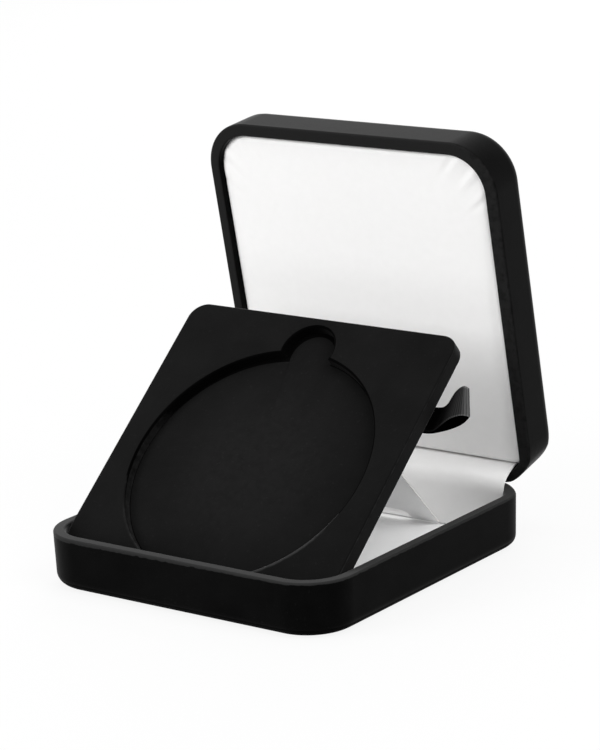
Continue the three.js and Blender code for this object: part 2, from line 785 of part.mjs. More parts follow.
medalCase.add(
  piece("base_shell", baseShell(), flock),
  piece("floor_card", floorCard(), whiteCard),
  piece("rear_card", rearCard(), whiteCard),
  piece("hinge_strip", hingeStrip(), satin),
  piece("base_hinge_leaf", hingeLeaf(-1, true), springSteel),
  piece("hinge_pin", rod(hingePinRadius, -hingeLength / 2, hingeLength / 2, hingeY, hingeZ), springSteel),
  piece("hinge_spring", hingeSpring(), springSteel),
  placedRivet("base_rivet_left", -1, -1),
  placedRivet("base_rivet_right", 1, -1),
  piece("tray_stay", trayStay(), whiteCard),
);

medalCase.add(
  openLid([
    piece("lid_shell", lidShell(), flock),
    piece("lid_pad", lidPad(), satin),
    piece("pad_card", padCard(), greyCard),
    piece("lid_hinge_leaf", hingeLeaf(1, false), springSteel),
    placedRivet("lid_rivet_left", -1, 1),
    placedRivet("lid_rivet_right", 1, 1),
  ]),
);

medalCase.add(
  raiseTray([
    piece("tray_platform", trayPlatform(), velour),
    piece("recess_floor", recessFloor(), velour),
    piece("tray_backing", trayBacking(), whiteCard),
    piece("tray_pin_left", pivotPin(-1), springSteel),
    piece("tray_pin_right", pivotPin(1), springSteel),
    piece("ribbon_pull", ribbonPull(), blackRibbon),
  ]),
);

export default medalCase;
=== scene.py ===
# %% [markdown]
# # A medal case, open for display
#
# The real object is a small hinged box for one medal. Two moulded plastic shells are flocked black,
# the lid is lined with a satin pad, and a velour tray with a round recess turns up on two pins and
# leans on a card. Every rigid piece already exists as a plain solid in the frame. Here each one gets
# the form and the surface that the eye expects, without leaving the place that the solid gives it.

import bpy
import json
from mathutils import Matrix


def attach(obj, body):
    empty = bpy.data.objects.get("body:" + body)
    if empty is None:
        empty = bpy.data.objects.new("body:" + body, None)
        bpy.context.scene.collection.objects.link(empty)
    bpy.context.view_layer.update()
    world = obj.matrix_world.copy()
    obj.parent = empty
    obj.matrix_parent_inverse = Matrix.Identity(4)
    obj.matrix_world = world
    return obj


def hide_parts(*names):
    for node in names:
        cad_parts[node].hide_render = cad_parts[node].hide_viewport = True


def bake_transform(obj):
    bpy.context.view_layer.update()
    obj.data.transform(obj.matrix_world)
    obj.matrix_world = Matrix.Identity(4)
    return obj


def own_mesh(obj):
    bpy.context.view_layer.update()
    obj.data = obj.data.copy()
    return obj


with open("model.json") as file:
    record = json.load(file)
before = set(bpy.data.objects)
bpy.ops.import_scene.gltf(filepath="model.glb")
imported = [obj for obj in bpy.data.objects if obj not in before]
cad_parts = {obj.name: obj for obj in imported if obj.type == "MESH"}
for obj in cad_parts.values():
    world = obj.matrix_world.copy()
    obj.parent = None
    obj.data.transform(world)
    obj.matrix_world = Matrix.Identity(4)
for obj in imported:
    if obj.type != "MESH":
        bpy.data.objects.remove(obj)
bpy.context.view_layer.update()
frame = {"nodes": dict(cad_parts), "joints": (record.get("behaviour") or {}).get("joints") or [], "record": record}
nodes = frame["nodes"]
print("solids in the frame:", len(nodes))

# %% [markdown]
# ## Measures
#
# Blender works in metres and the case was drawn in millimetres, so all lengths below are in
# millimetres and are turned into metres once, when a mesh is made. Keeping one unit per stage is the
# easiest way to avoid pieces that are a thousand times too large.

# %% The case's own measures
import json
import math
import bmesh
import bpy
import numpy as np
from mathutils import Matrix, Vector
from mathutils.geometry import tessellate_polygon

MM = 0.001
CASE_WIDTH, CASE_DEPTH = 100.0, 104.0
CORNER_RADIUS, RIM_RADIUS, WALL = 14.5, 0.6, 3.4
BASE_HEIGHT, LID_HEIGHT, LID_RIM = 15.5, 15.0, 15.8
HINGE_Y, HINGE_Z = 51.3, 15.65
PIVOT_Y, PIVOT_Z = -45.9, 6.5
REAR_WALL = CASE_DEPTH / 2 - WALL
LINING_FOOT = 2.1  # just above the card on the base's floor
LID_OPEN, TRAY_RAISED = (-joint["range_deg"][0] for joint in frame["joints"][:2])

# %% [markdown]
# The lid is easiest to build shut, lying on the base, and the tray is easiest to build flat. A matrix
# then turns each one into the display pose, about the same axes as the joints of the frame.

# %% From shut to open, from flat to raised
SCALE = Matrix.Diagonal((MM, MM, MM, 1))


def turned(degrees, y, z):
    """A turn about an axis along X through (y, z), from millimetres to metres."""
    there = Matrix.Translation((0, y, z))
    return SCALE @ there @ Matrix.Rotation(math.radians(degrees), 4, "X") @ there.inverted()


IN_BASE = SCALE
IN_LID = turned(-LID_OPEN, HINGE_Y, HINGE_Z)
IN_TRAY = turned(TRAY_RAISED, PIVOT_Y, PIVOT_Z) @ Matrix.Translation((0, PIVOT_Y, PIVOT_Z))
front_rim = IN_LID @ Vector((0, -CASE_DEPTH / 2, LID_RIM))
print("the lid's front rim stands at", [round(c, 4) for c in front_rim])

# %% [markdown]
# ## Camera
#
# The picture was taken with a long lens from the right of the front, a little above the rims, and
# the camera leaned by 2.5 degrees. The values come from fitting the lines of the case. A camera is
# placed by the direction from the object back to it, which gives all three of its axes.

# %% The camera
TARGET = Vector((6.85, 0.0, 55.58)) * MM
AZIMUTH, ELEVATION, ROLL = (math.radians(a) for a in (37.092, 14.843, -2.483))
DISTANCE = 827.48 * MM
FOCAL_PIXELS, PICTURE_HEIGHT, SENSOR = 2978.5, 750, 36.0


def add_object(name, data):
    made = bpy.data.objects.new(name, data)
    bpy.context.scene.collection.objects.link(made)
    return made


camera_data = bpy.data.cameras.new("camera")
camera_data.sensor_width = SENSOR
camera_data.lens = FOCAL_PIXELS / PICTURE_HEIGHT * SENSOR
camera_data.clip_start, camera_data.clip_end = 0.01, 30
camera = add_object("camera", camera_data)
back = Vector((
    math.sin(AZIMUTH) * math.cos(ELEVATION),
    -math.cos(AZIMUTH) * math.cos(ELEVATION),
    math.sin(ELEVATION),
))
level = Vector((math.cos(AZIMUTH), math.sin(AZIMUTH), 0))
upward = back.cross(level)
right = math.cos(ROLL) * level + math.sin(ROLL) * upward
above = math.cos(ROLL) * upward - math.sin(ROLL) * level
axes = Matrix((right, above, back)).transposed().to_4x4()
camera.matrix_world = Matrix.Translation(TARGET + DISTANCE * back) @ axes
bpy.context.scene.camera = camera
bpy.context.scene.view_settings.view_transform = "Standard"
print("lens in mm:", round(camera_data.lens, 1))

# %% [markdown]
# ## Surfaces
#
# Four effects are used by more than one material, or could be: nap, threads, board grain and rolled
# metal. Each is a node group with named sockets, built once. A group gives a colour, a roughness and
# a height, and the material feeds them to its own shader. The sheen stays a plain value there.

# %% A small kit for node groups
def feed(tree, socket, value):
    """Links a socket to another one, or sets its plain value."""
    if isinstance(value, bpy.types.NodeSocket):
        tree.links.new(value, socket)
    else:
        socket.default_value = value


def add_node(tree, kind, inputs=None, **settings):
    """Adds a node, sets its properties, and fills or links its inputs."""
    node = tree.nodes.new(kind)
    for name, value in settings.items():
        setattr(node, name, value)
    for name, value in (inputs or {}).items():
        feed(tree, node.inputs[name], value)
    return node


def start_group(name, colours, numbers):
    """A node group with these inputs, and Color, Roughness and Height as its outputs."""
    tree = bpy.data.node_groups.new(name, "ShaderNodeTree")
    for kind, inputs in (("NodeSocketColor", colours), ("NodeSocketFloat", numbers)):
        for label, value in inputs.items():
            socket = tree.interface.new_socket(label, in_out="INPUT", socket_type=kind)
            socket.default_value = value
    tree.interface.new_socket("Color", in_out="OUTPUT", socket_type="NodeSocketColor")
    tree.interface.new_socket("Roughness", in_out="OUTPUT", socket_type="NodeSocketFloat")
    tree.interface.new_socket("Height", in_out="OUTPUT", socket_type="NodeSocketFloat")
    return tree, tree.nodes.new("NodeGroupInput").outputs, tree.nodes.new("NodeGroupOutput")


def finish_group(tree, last, color, roughness, height):
    for label, socket in (("Color", color), ("Roughness", roughness), ("Height", height)):
        tree.links.new(socket, last.inputs[label])
    print("group", tree.name, "has", len(tree.nodes), "nodes")


def noise(tree, vector, scale, detail=2.0, roughness=0.5):
    """Noise over a vector, at a scale that may be a socket."""
    inputs = {"Vector": vector, "Scale": scale, "Detail": detail, "Roughness": roughness}
    return add_node(tree, "ShaderNodeTexNoise", inputs).outputs["Fac"]


def reckon(tree, operation, first, second=0.0):
    node = add_node(tree, "ShaderNodeMath", operation=operation)
    feed(tree, node.inputs[0], first)
    feed(tree, node.inputs[1], second)
    return node.outputs[0]


def times(tree, first, second):
    return reckon(tree, "MULTIPLY", first, second)


def plus(tree, first, second):
    return reckon(tree, "ADD", first, second)


def mapped(tree, value, from_low, from_high, low=0.0, high=1.0):
    """Maps one range to another, and holds the value at its ends."""
    inputs = {"Value": value, "From Min": from_low, "From Max": from_high, "To Min": low, "To Max": high}
    return add_node(tree, "ShaderNodeMapRange", inputs).outputs["Result"]


def spread(tree, value, low, high):
    """Maps 0.3 to 0.7, where noise lives, to a wider range."""
    return mapped(tree, value, 0.3, 0.7, low, high)


def mixed(tree, share, first, second):
    node = add_node(tree, "ShaderNodeMix", data_type="RGBA")
    for index, value in ((0, share), (6, first), (7, second)):
        feed(tree, node.inputs[index], value)
    return node.outputs[2]


def grey(value, warmth=0.0):
    return (value * (1 + warmth), value, value * (1 - warmth), 1)


WHITE = grey(1.0)

# %% [markdown]
# Flock and velour are short fibres that stand off the surface. Seen from straight above, the light
# sinks between them. Seen along the surface it catches on their sides, so black flock turns grey at
# its edges. That is what sheen is for. What sheen can't show is that the fibres lean this way and
# that in patches, where a hand has brushed them, so the nap group mixes two tones over wide, soft
# patches, and a fine grain stands for the fibres. A lighter grey is also painted on where a piece
# should look lit: painted sheen on rims and edges, and painted highlights and painted light on the tray.
# Each mesh stores its share in an attribute, which only the pieces with such marks have. Noise breaks
# up its border, and a softness input says how gradual that border is.

# %% The nap group
SOFT_MIDDLE = 0.475

tree, given, last = start_group(
    "nap",
    {"Dark": grey(0.002), "Light": grey(0.006), "Painted_grey": grey(0.02)},
    {"Patches": 60.0, "Fibres": 4200.0, "Lint": 0.0, "Fray": 0.275},
)
place = add_node(tree, "ShaderNodeTexCoord").outputs["Object"]
patches = spread(tree, noise(tree, place, given["Patches"], 3.0, 0.6), 0.0, 1.0)
fibres = noise(tree, place, given["Fibres"], 2.0, 0.7)
tufts = noise(tree, place, times(tree, given["Fibres"], 0.22))
tone = plus(tree, times(tree, patches, 0.65), times(tree, fibres, 0.35))
cloth_tone = mixed(tree, tone, given["Dark"], given["Light"])
specks = noise(tree, place, times(tree, given["Fibres"], 0.3), 0.0)
specks = mapped(tree, specks, 0.76, 0.8, 0.0, given["Lint"])
# The share of painted sheen, highlight and light that each mesh stores, mixed towards a lighter grey.
painted_share = add_node(tree, "ShaderNodeAttribute", attribute_name="painted_light").outputs["Fac"]
border = noise(tree, place, times(tree, given["Fibres"], 0.11), 3.0, 0.6)
ragged = times(tree, painted_share, spread(tree, border, 0.7, 1.5))
soft_low = reckon(tree, "SUBTRACT", SOFT_MIDDLE, given["Fray"])
soft_high = plus(tree, SOFT_MIDDLE, given["Fray"])
ragged = mapped(tree, ragged, soft_low, soft_high)
lit_tone = mixed(tree, ragged, cloth_tone, given["Painted_grey"])
finish_group(
    tree, last,
    mixed(tree, specks, lit_tone, grey(0.12)),
    spread(tree, fibres, 0.82, 1.0),
    plus(tree, fibres, times(tree, tufts, 0.8)),
)
nap = tree

# %% [markdown]
# Satin and ribbon are woven. Warp and weft are two sets of waves at right angles, laid along the
# cloth's own coordinates, which are stored as a UV map in millimetres when each cloth mesh is made.
# A wave per thread is below one pixel from afar, and shows as the satin's line when the eye is near.
# A share stored on the mesh works here too, as a painted highlight that lightens the ribbon towards
# its fold and along its selvedges.

# %% The threads group
tree, given, last = start_group(
    "threads",
    {"Cloth": grey(0.8), "Shade": grey(0.7), "Painted_grey": grey(0.8)},
    {"Warp": 4.0, "Weft": 2.0, "Rib": 0.5, "Gloss": 0.4, "Dull": 0.5},
)
run = add_node(tree, "ShaderNodeUVMap", uv_map="cloth").outputs["UV"]
axis = add_node(tree, "ShaderNodeSeparateXYZ", {"Vector": run})
wobble = times(tree, noise(tree, run, 0.6), 0.35)


def thread_wave(along, count):
    """A round wave across one axis of the cloth, with this many threads in a millimetre."""
    angle = times(tree, plus(tree, along, wobble), count)
    return reckon(tree, "ABSOLUTE", reckon(tree, "SINE", times(tree, angle, math.pi)))


warp = thread_wave(axis.outputs["X"], given["Warp"])
weft = thread_wave(axis.outputs["Y"], given["Weft"])
smooth_share = reckon(tree, "SUBTRACT", 1.0, given["Rib"])
weave = plus(tree, times(tree, warp, smooth_share), times(tree, weft, given["Rib"]))
slubs = noise(tree, run, 0.35, 3.0, 0.6)
shade = times(tree, reckon(tree, "SUBTRACT", 1.0, weave), 0.5)
shade = plus(tree, shade, times(tree, slubs, 0.5))
# The share of painted highlight, which only the ribbon has.
painted_share = add_node(tree, "ShaderNodeAttribute", attribute_name="painted_light").outputs["Fac"]
on_ribs = times(tree, painted_share, plus(tree, times(tree, weave, 0.9), 0.35))
woven_tone = mixed(tree, shade, given["Cloth"], given["Shade"])
duller = reckon(tree, "SUBTRACT", given["Dull"], given["Gloss"])
finish_group(
    tree, last,
    mixed(tree, reckon(tree, "MINIMUM", on_ribs, 1.0), woven_tone, given["Painted_grey"]),
    plus(tree, given["Gloss"], times(tree, shade, duller)),
    weave,
)
threads = tree

# %% [markdown]
# Card and grey board are felted paper fibres: a faint mottle, short flecks, and an uneven surface.
# Steel strip from a rolling mill has long fine lines in one direction. Both are made of noise, which
# is stretched along the strip for the steel.

# %% The board grain and rolled metal groups
tree, given, last = start_group(
    "board_grain",
    {"Board": grey(0.8), "Fleck": grey(0.6)},
    {"Mottle": 120.0, "Grain": 2400.0, "Flecks": 0.3},
)
place = add_node(tree, "ShaderNodeTexCoord").outputs["Object"]
mottle = noise(tree, place, given["Mottle"], 4.0, 0.6)
grain = noise(tree, place, given["Grain"], 3.0, 0.6)
flecks = times(tree, spread(tree, mottle, 0.0, 1.0), given["Flecks"])
board_tone = plus(tree, flecks, times(tree, grain, 0.12))
finish_group(
    tree, last,
    mixed(tree, board_tone, given["Board"], given["Fleck"]),
    spread(tree, grain, 0.55, 0.8),
    grain,
)
board_grain = tree

tree, given, last = start_group(
    "rolled_metal",
    {"Metal": (0.7, 0.71, 0.73, 1), "Tarnish": (0.45, 0.43, 0.4, 1)},
    {"Lines": 900.0, "Stain": 150.0},
)
place = add_node(tree, "ShaderNodeTexCoord").outputs["Object"]
drawn_out = add_node(tree, "ShaderNodeMapping", {"Vector": place, "Scale": (0.03, 1.0, 1.0)})
lines = noise(tree, drawn_out.outputs["Vector"], given["Lines"], 3.0, 0.6)
stain = spread(tree, noise(tree, place, given["Stain"], 4.0), 0.0, 0.5)
finish_group(
    tree, last,
    mixed(tree, stain, given["Metal"], given["Tarnish"]),
    spread(tree, lines, 0.22, 0.42),
    lines,
)
rolled_metal = tree

# %% [markdown]
# ## Materials
#
# One function places a group in a new material and wires it: colour to colour, roughness to
# roughness, and height through a Bump node to the normal. Plain numbers go on the shader's sockets.

# %% Make a material from a group
def make_material(name, group, group_inputs, bump_strength, bump_mm, shader_inputs):
    material = bpy.data.materials.new(name)
    material.use_nodes = True
    tree = material.node_tree
    shader = tree.nodes["Principled BSDF"]
    effect = add_node(tree, "ShaderNodeGroup", node_tree=group)
    for label, value in group_inputs.items():
        effect.inputs[label].default_value = value
    bump = add_node(
        tree, "ShaderNodeBump",
        {"Height": effect.outputs["Height"], "Strength": bump_strength, "Distance": bump_mm * MM},
    )
    tree.links.new(effect.outputs["Color"], shader.inputs["Base Color"])
    tree.links.new(effect.outputs["Roughness"], shader.inputs["Roughness"])
    tree.links.new(bump.outputs["Normal"], shader.inputs["Normal"])
    for label, value in shader_inputs.items():
        shader.inputs[label].default_value = value
    print("material", name)
    return material


# %% [markdown]
# The flock of the base and of the lid differ in how grey a painted sheen makes their rims, and the
# base's foot gets a copy with little sheen, so that it stays dark as painted shade. The velour of the
# tray comes in copies too: one tuned to the light on its sides, a dark one that paints the shade deep
# in its recess, and one for the board in the recess, with its own painted light. Where a white card
# is cut, its edges are coloured duller than its coated faces.

# %% Flock and velour
def sheen_only(weight, roughness):
    """A white sheen and no gloss."""
    sheen = {"Sheen Weight": weight, "Sheen Roughness": roughness, "Sheen Tint": WHITE}
    return {**sheen, "Specular IOR Level": 0.0}


def flock_finish(name, painted, softness, sheen=0.24):
    """Flock with this grey painted on its rim as sheen, and a border this soft."""
    tones = {
        "Dark": grey(0.0011), "Light": grey(0.0034), "Painted_grey": grey(painted), "Fray": softness,
        "Patches": 70.0, "Fibres": 5200.0, "Lint": 0.02,
    }
    return make_material(name, nap, tones, 0.3, 0.05, sheen_only(sheen, 0.34))


def velour_finish(name, dark, light, painted, sheen, patches=60.0, softness=0.275, lint=0.02):
    """Velour between two tones, with this grey painted on where it should look lit."""
    tones = {
        "Dark": grey(dark), "Light": grey(light), "Painted_grey": grey(painted), "Fray": softness,
        "Patches": patches, "Fibres": 4300.0, "Lint": lint,
    }
    return make_material(name, nap, tones, 0.4, 0.06, sheen_only(sheen, 0.4))


flocked_plastic = flock_finish("black_flock", 0.02, 0.1)
flocked_lid = flock_finish("black_flock_lid", 0.014, 0.275)
# A copy with little sheen, which keeps the foot dark as painted shade.
shaded_foot_flock = flock_finish("black_flock_foot_shaded", 0.02, 0.1, sheen=0.06)
velour = velour_finish("black_velour", 0.0018, 0.0052, 0.022, 0.18, patches=45.0)
velour_floor = velour_finish("black_velour_floor", 0.0018, 0.0052, 0.0066, 0.18, patches=45.0, softness=0.475)
# A copy tuned to the light on the tray's outer sides.
side_light_velour = velour_finish("black_velour_side_lighting", 0.0022, 0.0056, 0.013, 0.16)
# A dark copy with hardly any sheen, which paints the shade deep in the recess.
shadow_velour = velour_finish("black_velour_recess_shadow", 0.0005, 0.0016, 0.02, 0.02, lint=0.0)

# %% Satin, ribbon, card, board and steel
satin_threads = {"Warp": 6.0, "Weft": 4.0, "Rib": 0.3, "Gloss": 0.34, "Dull": 0.5}
satin = make_material(
    "white_satin", threads,
    {"Cloth": grey(0.92, 0.004), "Shade": grey(0.84, 0.006), "Painted_grey": grey(0.92), **satin_threads},
    0.12, 0.03,
    {"Sheen Weight": 0.08, "Sheen Roughness": 0.35, "Specular IOR Level": 0.45},
)
ribbon_threads = {"Warp": 5.0, "Weft": 1.5, "Rib": 0.85, "Gloss": 0.4, "Dull": 0.55}
# The lighter grey is a painted highlight towards the fold.
ribbon_weave = make_material(
    "black_ribbon", threads,
    {"Cloth": grey(0.0012), "Shade": grey(0.0004), "Painted_grey": grey(0.18), **ribbon_threads},
    0.5, 0.08, sheen_only(0.01, 0.3),
)
white_card = make_material(
    "coated_white_card", board_grain,
    {"Board": grey(0.89), "Fleck": grey(0.8), "Mottle": 140.0, "Grain": 2600.0, "Flecks": 0.3},
    0.12, 0.04, {"Specular IOR Level": 0.35},
)
# The cut edges are coloured duller and darker than the coated faces.
dull_card_edge = make_material(
    "card_cut_edge", board_grain,
    {"Board": grey(0.76, 0.02), "Fleck": grey(0.64, 0.03), "Mottle": 140.0, "Grain": 2600.0, "Flecks": 0.5},
    0.2, 0.04, {"Specular IOR Level": 0.2},
)
grey_board = make_material(
    "plain_grey_board", board_grain,
    {"Board": grey(0.47, 0.06), "Fleck": grey(0.3, 0.08), "Mottle": 260.0, "Grain": 1500.0, "Flecks": 0.7},
    0.4, 0.08, {"Specular IOR Level": 0.2},
)
spring_steel = make_material(
    "rolled_steel", rolled_metal,
    {"Metal": grey(0.62), "Tarnish": grey(0.42, 0.03), "Lines": 1400.0, "Stain": 160.0},
    0.2, 0.02, {"Metallic": 1.0},
)

# %% [markdown]
# ## Building meshes
#
# Most pieces are rings of points, one above the other, with faces between them. This is lofting, and
# with it the outline, the draft of a moulded wall and the round of an edge are all exact. Large flat
# faces beside small rounded ones shade badly with plain smooth normals, so the shells, the tray and
# the board in its recess get a Weighted Normal modifier, which keeps the large faces' direction.

# %% Helpers for meshes
SHARP_PAST = 40


def new_piece(name, points, faces, material, slot, uvs=None):
    """Makes a mesh of its own from millimetre points, in the shut or flat position."""
    mesh = bpy.data.meshes.new(name)
    mesh.from_pydata(points, [], faces)
    if uvs is not None:
        layer = mesh.uv_layers.new(name="cloth")
        for loop in mesh.loops:
            layer.data[loop.index].uv = uvs[loop.vertex_index]
    mesh.materials.append(material)
    piece = add_object(name, mesh)
    smooth(piece)
    return piece


def settle(piece, place, body, node):
    """Turns a finished mesh into its place in the row frame, on its body, instead of its solid."""
    piece.data.transform(place)
    if body is not None:
        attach(piece, body)
    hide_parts(node)
    print(piece.name, "has", len(piece.data.polygons), "faces")


def smooth(piece):
    """Faces out, smooth shading, and sharp edges only past an angle."""
    work = bmesh.new()
    work.from_mesh(piece.data)
    bmesh.ops.recalc_face_normals(work, faces=work.faces)
    work.to_mesh(piece.data)
    work.free()
    piece.data.shade_smooth()
    piece.data.set_sharp_from_angle(angle=math.radians(SHARP_PAST))


def mark_painted_light(piece, values):
    """Stores how much painted light the cloth gets, from 0 to 1, at each point of its mesh."""
    layer = piece.data.attributes.new("painted_light", "FLOAT", "POINT")
    layer.data.foreach_set("value", np.clip(np.array(list(values), np.float32), 0, 1))


def second_finish(piece, material, chosen):
    """Gives another material to the faces that a test chooses."""
    piece.data.materials.append(material)
    index = len(piece.data.materials) - 1
    for face in piece.data.polygons:
        if chosen(face):
            face.material_index = index


def weigh_normals(piece):
    modifier = piece.modifiers.new("even_faces", "WEIGHTED_NORMAL")
    modifier.keep_sharp = True
    modifier.weight = 60


def loft(rings, close=True):
    """Points and faces through rings of equal count, with a cap at both ends."""
    count = len(rings[0])
    points = [p for ring in rings for p in ring]
    faces = []
    for k in range(len(rings) - 1):
        for i in range(count):
            a, b = k * count + i, k * count + (i + 1) % count
            faces.append((a, b, b + count, a + count))
    if close:
        end = (len(rings) - 1) * count
        faces.append(tuple(range(count - 1, -1, -1)))
        faces.append(tuple(range(end, end + count)))
    return points, faces


# %% Helpers for lines and edges
def eased(value, low, high):
    """0 up to low, 1 from high on, and a smooth rise between them."""
    share = min(1.0, max(0.0, (value - low) / (high - low)))
    return share * share * (3 - 2 * share)


def between(a, b, share):
    """A point at a share of the way from a to b."""
    return tuple(p + (q - p) * share for p, q in zip(a, b))


def run_along(line):
    """How far one has come at each point of a line."""
    return np.concatenate([[0], np.cumsum(np.linalg.norm(np.diff(np.array(line), axis=0), axis=1))])


def round_edge(radius, steps):
    """A quarter turn round an edge: pairs of how far in and how far down, from (0, radius) to
    (radius, 0)."""
    quarter = [math.pi / 2 * i / steps for i in range(steps + 1)]
    return [(radius * (1 - math.cos(a)), radius * (1 - math.sin(a))) for a in quarter]


# %% [markdown]
# ## The two shells
#
# The shells are vacuum-formed or moulded, then sprayed with glue and flock. The section is the same
# all round: a wall with draft, a round where it meets the flat side, a rim with soft edges, and a
# cavity. So each shell is one loft that runs up the outside, over the rim and down the inside.

# %% The outline of the case
REAR_FULLNESS = 0.27
CORNER_STEPS, SIDE_STEPS = 20, 8
NO_LIP = (0.0, 0.0, 0.0)


def corner_arc(x, y, radius, start, fullness=0.0):
    """A quarter turn round (x, y). Fullness swells it on both sides of its middle, where a
    moulded corner runs out into straight walls, and leaves its middle and its ends alone."""
    arc = []
    for i in range(CORNER_STEPS + 1):
        a = math.radians(start + 90 * i / CORNER_STEPS)
        reach = radius + fullness * (1 - math.cos(8 * a)) / 2
        slope = 4 * fullness * math.sin(8 * a)
        arc.append((
            x + reach * math.cos(a) - slope * math.sin(a),
            y + reach * math.sin(a) + slope * math.cos(a),
        ))
    return arc


def rounded_rectangle(half_x, front, rear, front_radius, rear_radius, fullness=0.0):
    """Anticlockwise points of an upright rectangle with round corners and points along its sides."""
    near, far = front + front_radius, rear - rear_radius
    arcs = [
        corner_arc(half_x - front_radius, near, front_radius, -90),
        corner_arc(half_x - rear_radius, far, rear_radius, 0, fullness),
        corner_arc(rear_radius - half_x, far, rear_radius, 90, fullness),
        corner_arc(front_radius - half_x, near, front_radius, 180),
    ]
    points = []
    for arc, following in zip(arcs, arcs[1:] + arcs[:1]):
        side = [between(arc[-1], following[0], k / SIDE_STEPS) for k in range(1, SIDE_STEPS)]
        points += arc + side
    return points


def case_outline(inset, lip=NO_LIP, tighter=0.0):
    """The outline moved in by an inset. The lip adds to it at both sides and at the front, and its
    third number moves the whole outline to the left."""
    sides, front, left = lip
    half_width, half_depth = CASE_WIDTH / 2 - inset - sides, CASE_DEPTH / 2 - inset
    radius = CORNER_RADIUS - inset
    outline = rounded_rectangle(
        half_width, front - half_depth, half_depth, radius, radius - tighter, REAR_FULLNESS
    )
    return [(x - left, y) for x, y in outline]


def inset_at(x, y):
    """How far a point lies inside the outline of the case."""
    from_side, from_end = CASE_WIDTH / 2 - abs(x), CASE_DEPTH / 2 - abs(y)
    if max(from_side, from_end) < CORNER_RADIUS:
        return CORNER_RADIUS - math.hypot(CORNER_RADIUS - from_side, CORNER_RADIUS - from_end)
    return min(from_side, from_end)


def half_width_at(y, inset):
    """Half the width of the case, moved in by an inset, at a place along its depth."""
    radius = CORNER_RADIUS - inset
    past = max(0.0, abs(y) - (CASE_DEPTH / 2 - CORNER_RADIUS))
    return CASE_WIDTH / 2 - CORNER_RADIUS + math.sqrt(radius * radius - past * past)


# %% The section of a shell
SECTION_STEPS = 8
BELOW_RIM = (2.6, 1.9, 1.4, 1.0)
OUTER_RINGS = 2 * SECTION_STEPS + 1 + len(BELOW_RIM)


def shell_section(height, draft_deg, far_radius, floor, inside_radius):
    """Pairs of inset and distance from the rim, from the far side out, over the rim and down inside."""
    lean = math.tan(math.radians(draft_deg))
    turn = (height - far_radius - RIM_RADIUS) * lean
    far, rim, inside = (round_edge(r, SECTION_STEPS) for r in (far_radius, RIM_RADIUS, inside_radius))
    section = [(turn + down, height - over) for over, down in far]
    section += [((away - RIM_RADIUS) * lean, away) for away in BELOW_RIM]
    section += rim
    section += [(WALL - over, down) for over, down in reversed(rim)]
    section += [(WALL, away) for away in reversed(BELOW_RIM)]
    section += [(WALL + down, height - floor - over) for over, down in reversed(inside)]
    return section


# %% [markdown]
# The cuts in the shells are a slot in both rear rims for the knuckles of the hinge and two sockets for
# the tray's pins. They are made by subtracting plain cutters with Boolean modifiers, and the cutters are
# thrown away after that.

# %% Cutting
SQUARE = ((-1, -1), (1, -1), (1, 1), (-1, 1))


def cutter_box(width, depth, height, x, y, z):
    levels = (z - height / 2, z + height / 2)
    return loft([[(x + a * width / 2, y + b * depth / 2, level) for a, b in SQUARE] for level in levels])


def cutter_rod(radius, from_x, to_x, y, z, steps=28):
    turns = [2 * math.pi * i / steps for i in range(steps)]
    circle = [(y + radius * math.cos(a), z + radius * math.sin(a)) for a in turns]
    return loft([[(x, *place) for place in circle] for x in (from_x, to_x)])


def cut(piece, solids):
    """Subtracts solids in millimetres from a piece that isn't settled yet."""
    for points, faces in solids:
        mesh = bpy.data.meshes.new("cutter")
        mesh.from_pydata(points, [], faces)
        tool = add_object("cutter", mesh)
        smooth(tool)
        modifier = piece.modifiers.new("cut", "BOOLEAN")
        modifier.operation, modifier.solver, modifier.object = "DIFFERENCE", "EXACT", tool
        graph = bpy.context.evaluated_depsgraph_get()
        result = bpy.data.meshes.new_from_object(piece.evaluated_get(graph))
        piece.modifiers.remove(modifier)
        piece.data = result
        bpy.data.objects.remove(tool)
    smooth(piece)


# %% The base shell and the lid shell
SLOT_WIDTH, SLOT_HEIGHT = 56.6, 1.5
PIN_HOLE, SOCKET_WALL, SOCKET_OVERRUN = 1.3, 2.9, 1.0
SOCKET_INNER = half_width_at(PIVOT_Y - PIN_HOLE, WALL) - SOCKET_OVERRUN
SOCKET_OUTER = half_width_at(PIVOT_Y, 0) - SOCKET_WALL
# How far the painted sheen reaches down the rims, and where on the right it is taken off again as painted shade.
OUTSIDE_SHEEN, LESS_SHEEN_RIGHT, INSIDE_SHEEN = 1.05, 0.35, 0.3
SHADED_FROM, SHADED_TO = 25, 46
LID_LIP, LID_TIGHTER, INNER_TIGHTER = (0.2, 0.35, 0.45), 1.5, 3.0
FOOT_TOP = 2.2


def rim_sheen_paint(point, rim, right_shade):
    """The rim gets a grey painted sheen on top and a little way down its outside, least on the right, but
    hardly on its inside. On the right a share of that is taken off again, as painted shade."""
    outside = OUTSIDE_SHEEN * (1 - LESS_SHEEN_RIGHT * point.x / (CASE_WIDTH / 2))
    reach = outside if inset_at(point.x, point.y) < WALL / 2 else INSIDE_SHEEN
    painted = 1.25 - abs(point.z - rim) / reach
    return painted * (1 - right_shade * eased(point.x, SHADED_FROM, SHADED_TO))


def shell(name, material, rim, direction, section, lip=NO_LIP, tighter=(0.0, 0.0), sockets=(), right_shade=0.0):
    """A shell that rises from its rim, direction 1, or goes down from it, direction -1."""
    rings = []
    for k, (inset, away) in enumerate(section):
        inside = k > OUTER_RINGS
        outline = case_outline(inset, lip if inside else NO_LIP, tighter[inside])
        rings.append([(x, y, rim + direction * away) for x, y in outline])
    made = new_piece(name, *loft(rings), material, "flocked_plastic")
    slot_z = HINGE_Z + direction * SLOT_HEIGHT / 2
    slot = cutter_box(SLOT_WIDTH, WALL + 2, SLOT_HEIGHT, 0, CASE_DEPTH / 2 - WALL / 2, slot_z)
    cut(made, [slot, *sockets])
    mark_painted_light(made, (rim_sheen_paint(vertex.co, rim, right_shade) for vertex in made.data.vertices))
    weigh_normals(made)
    return made


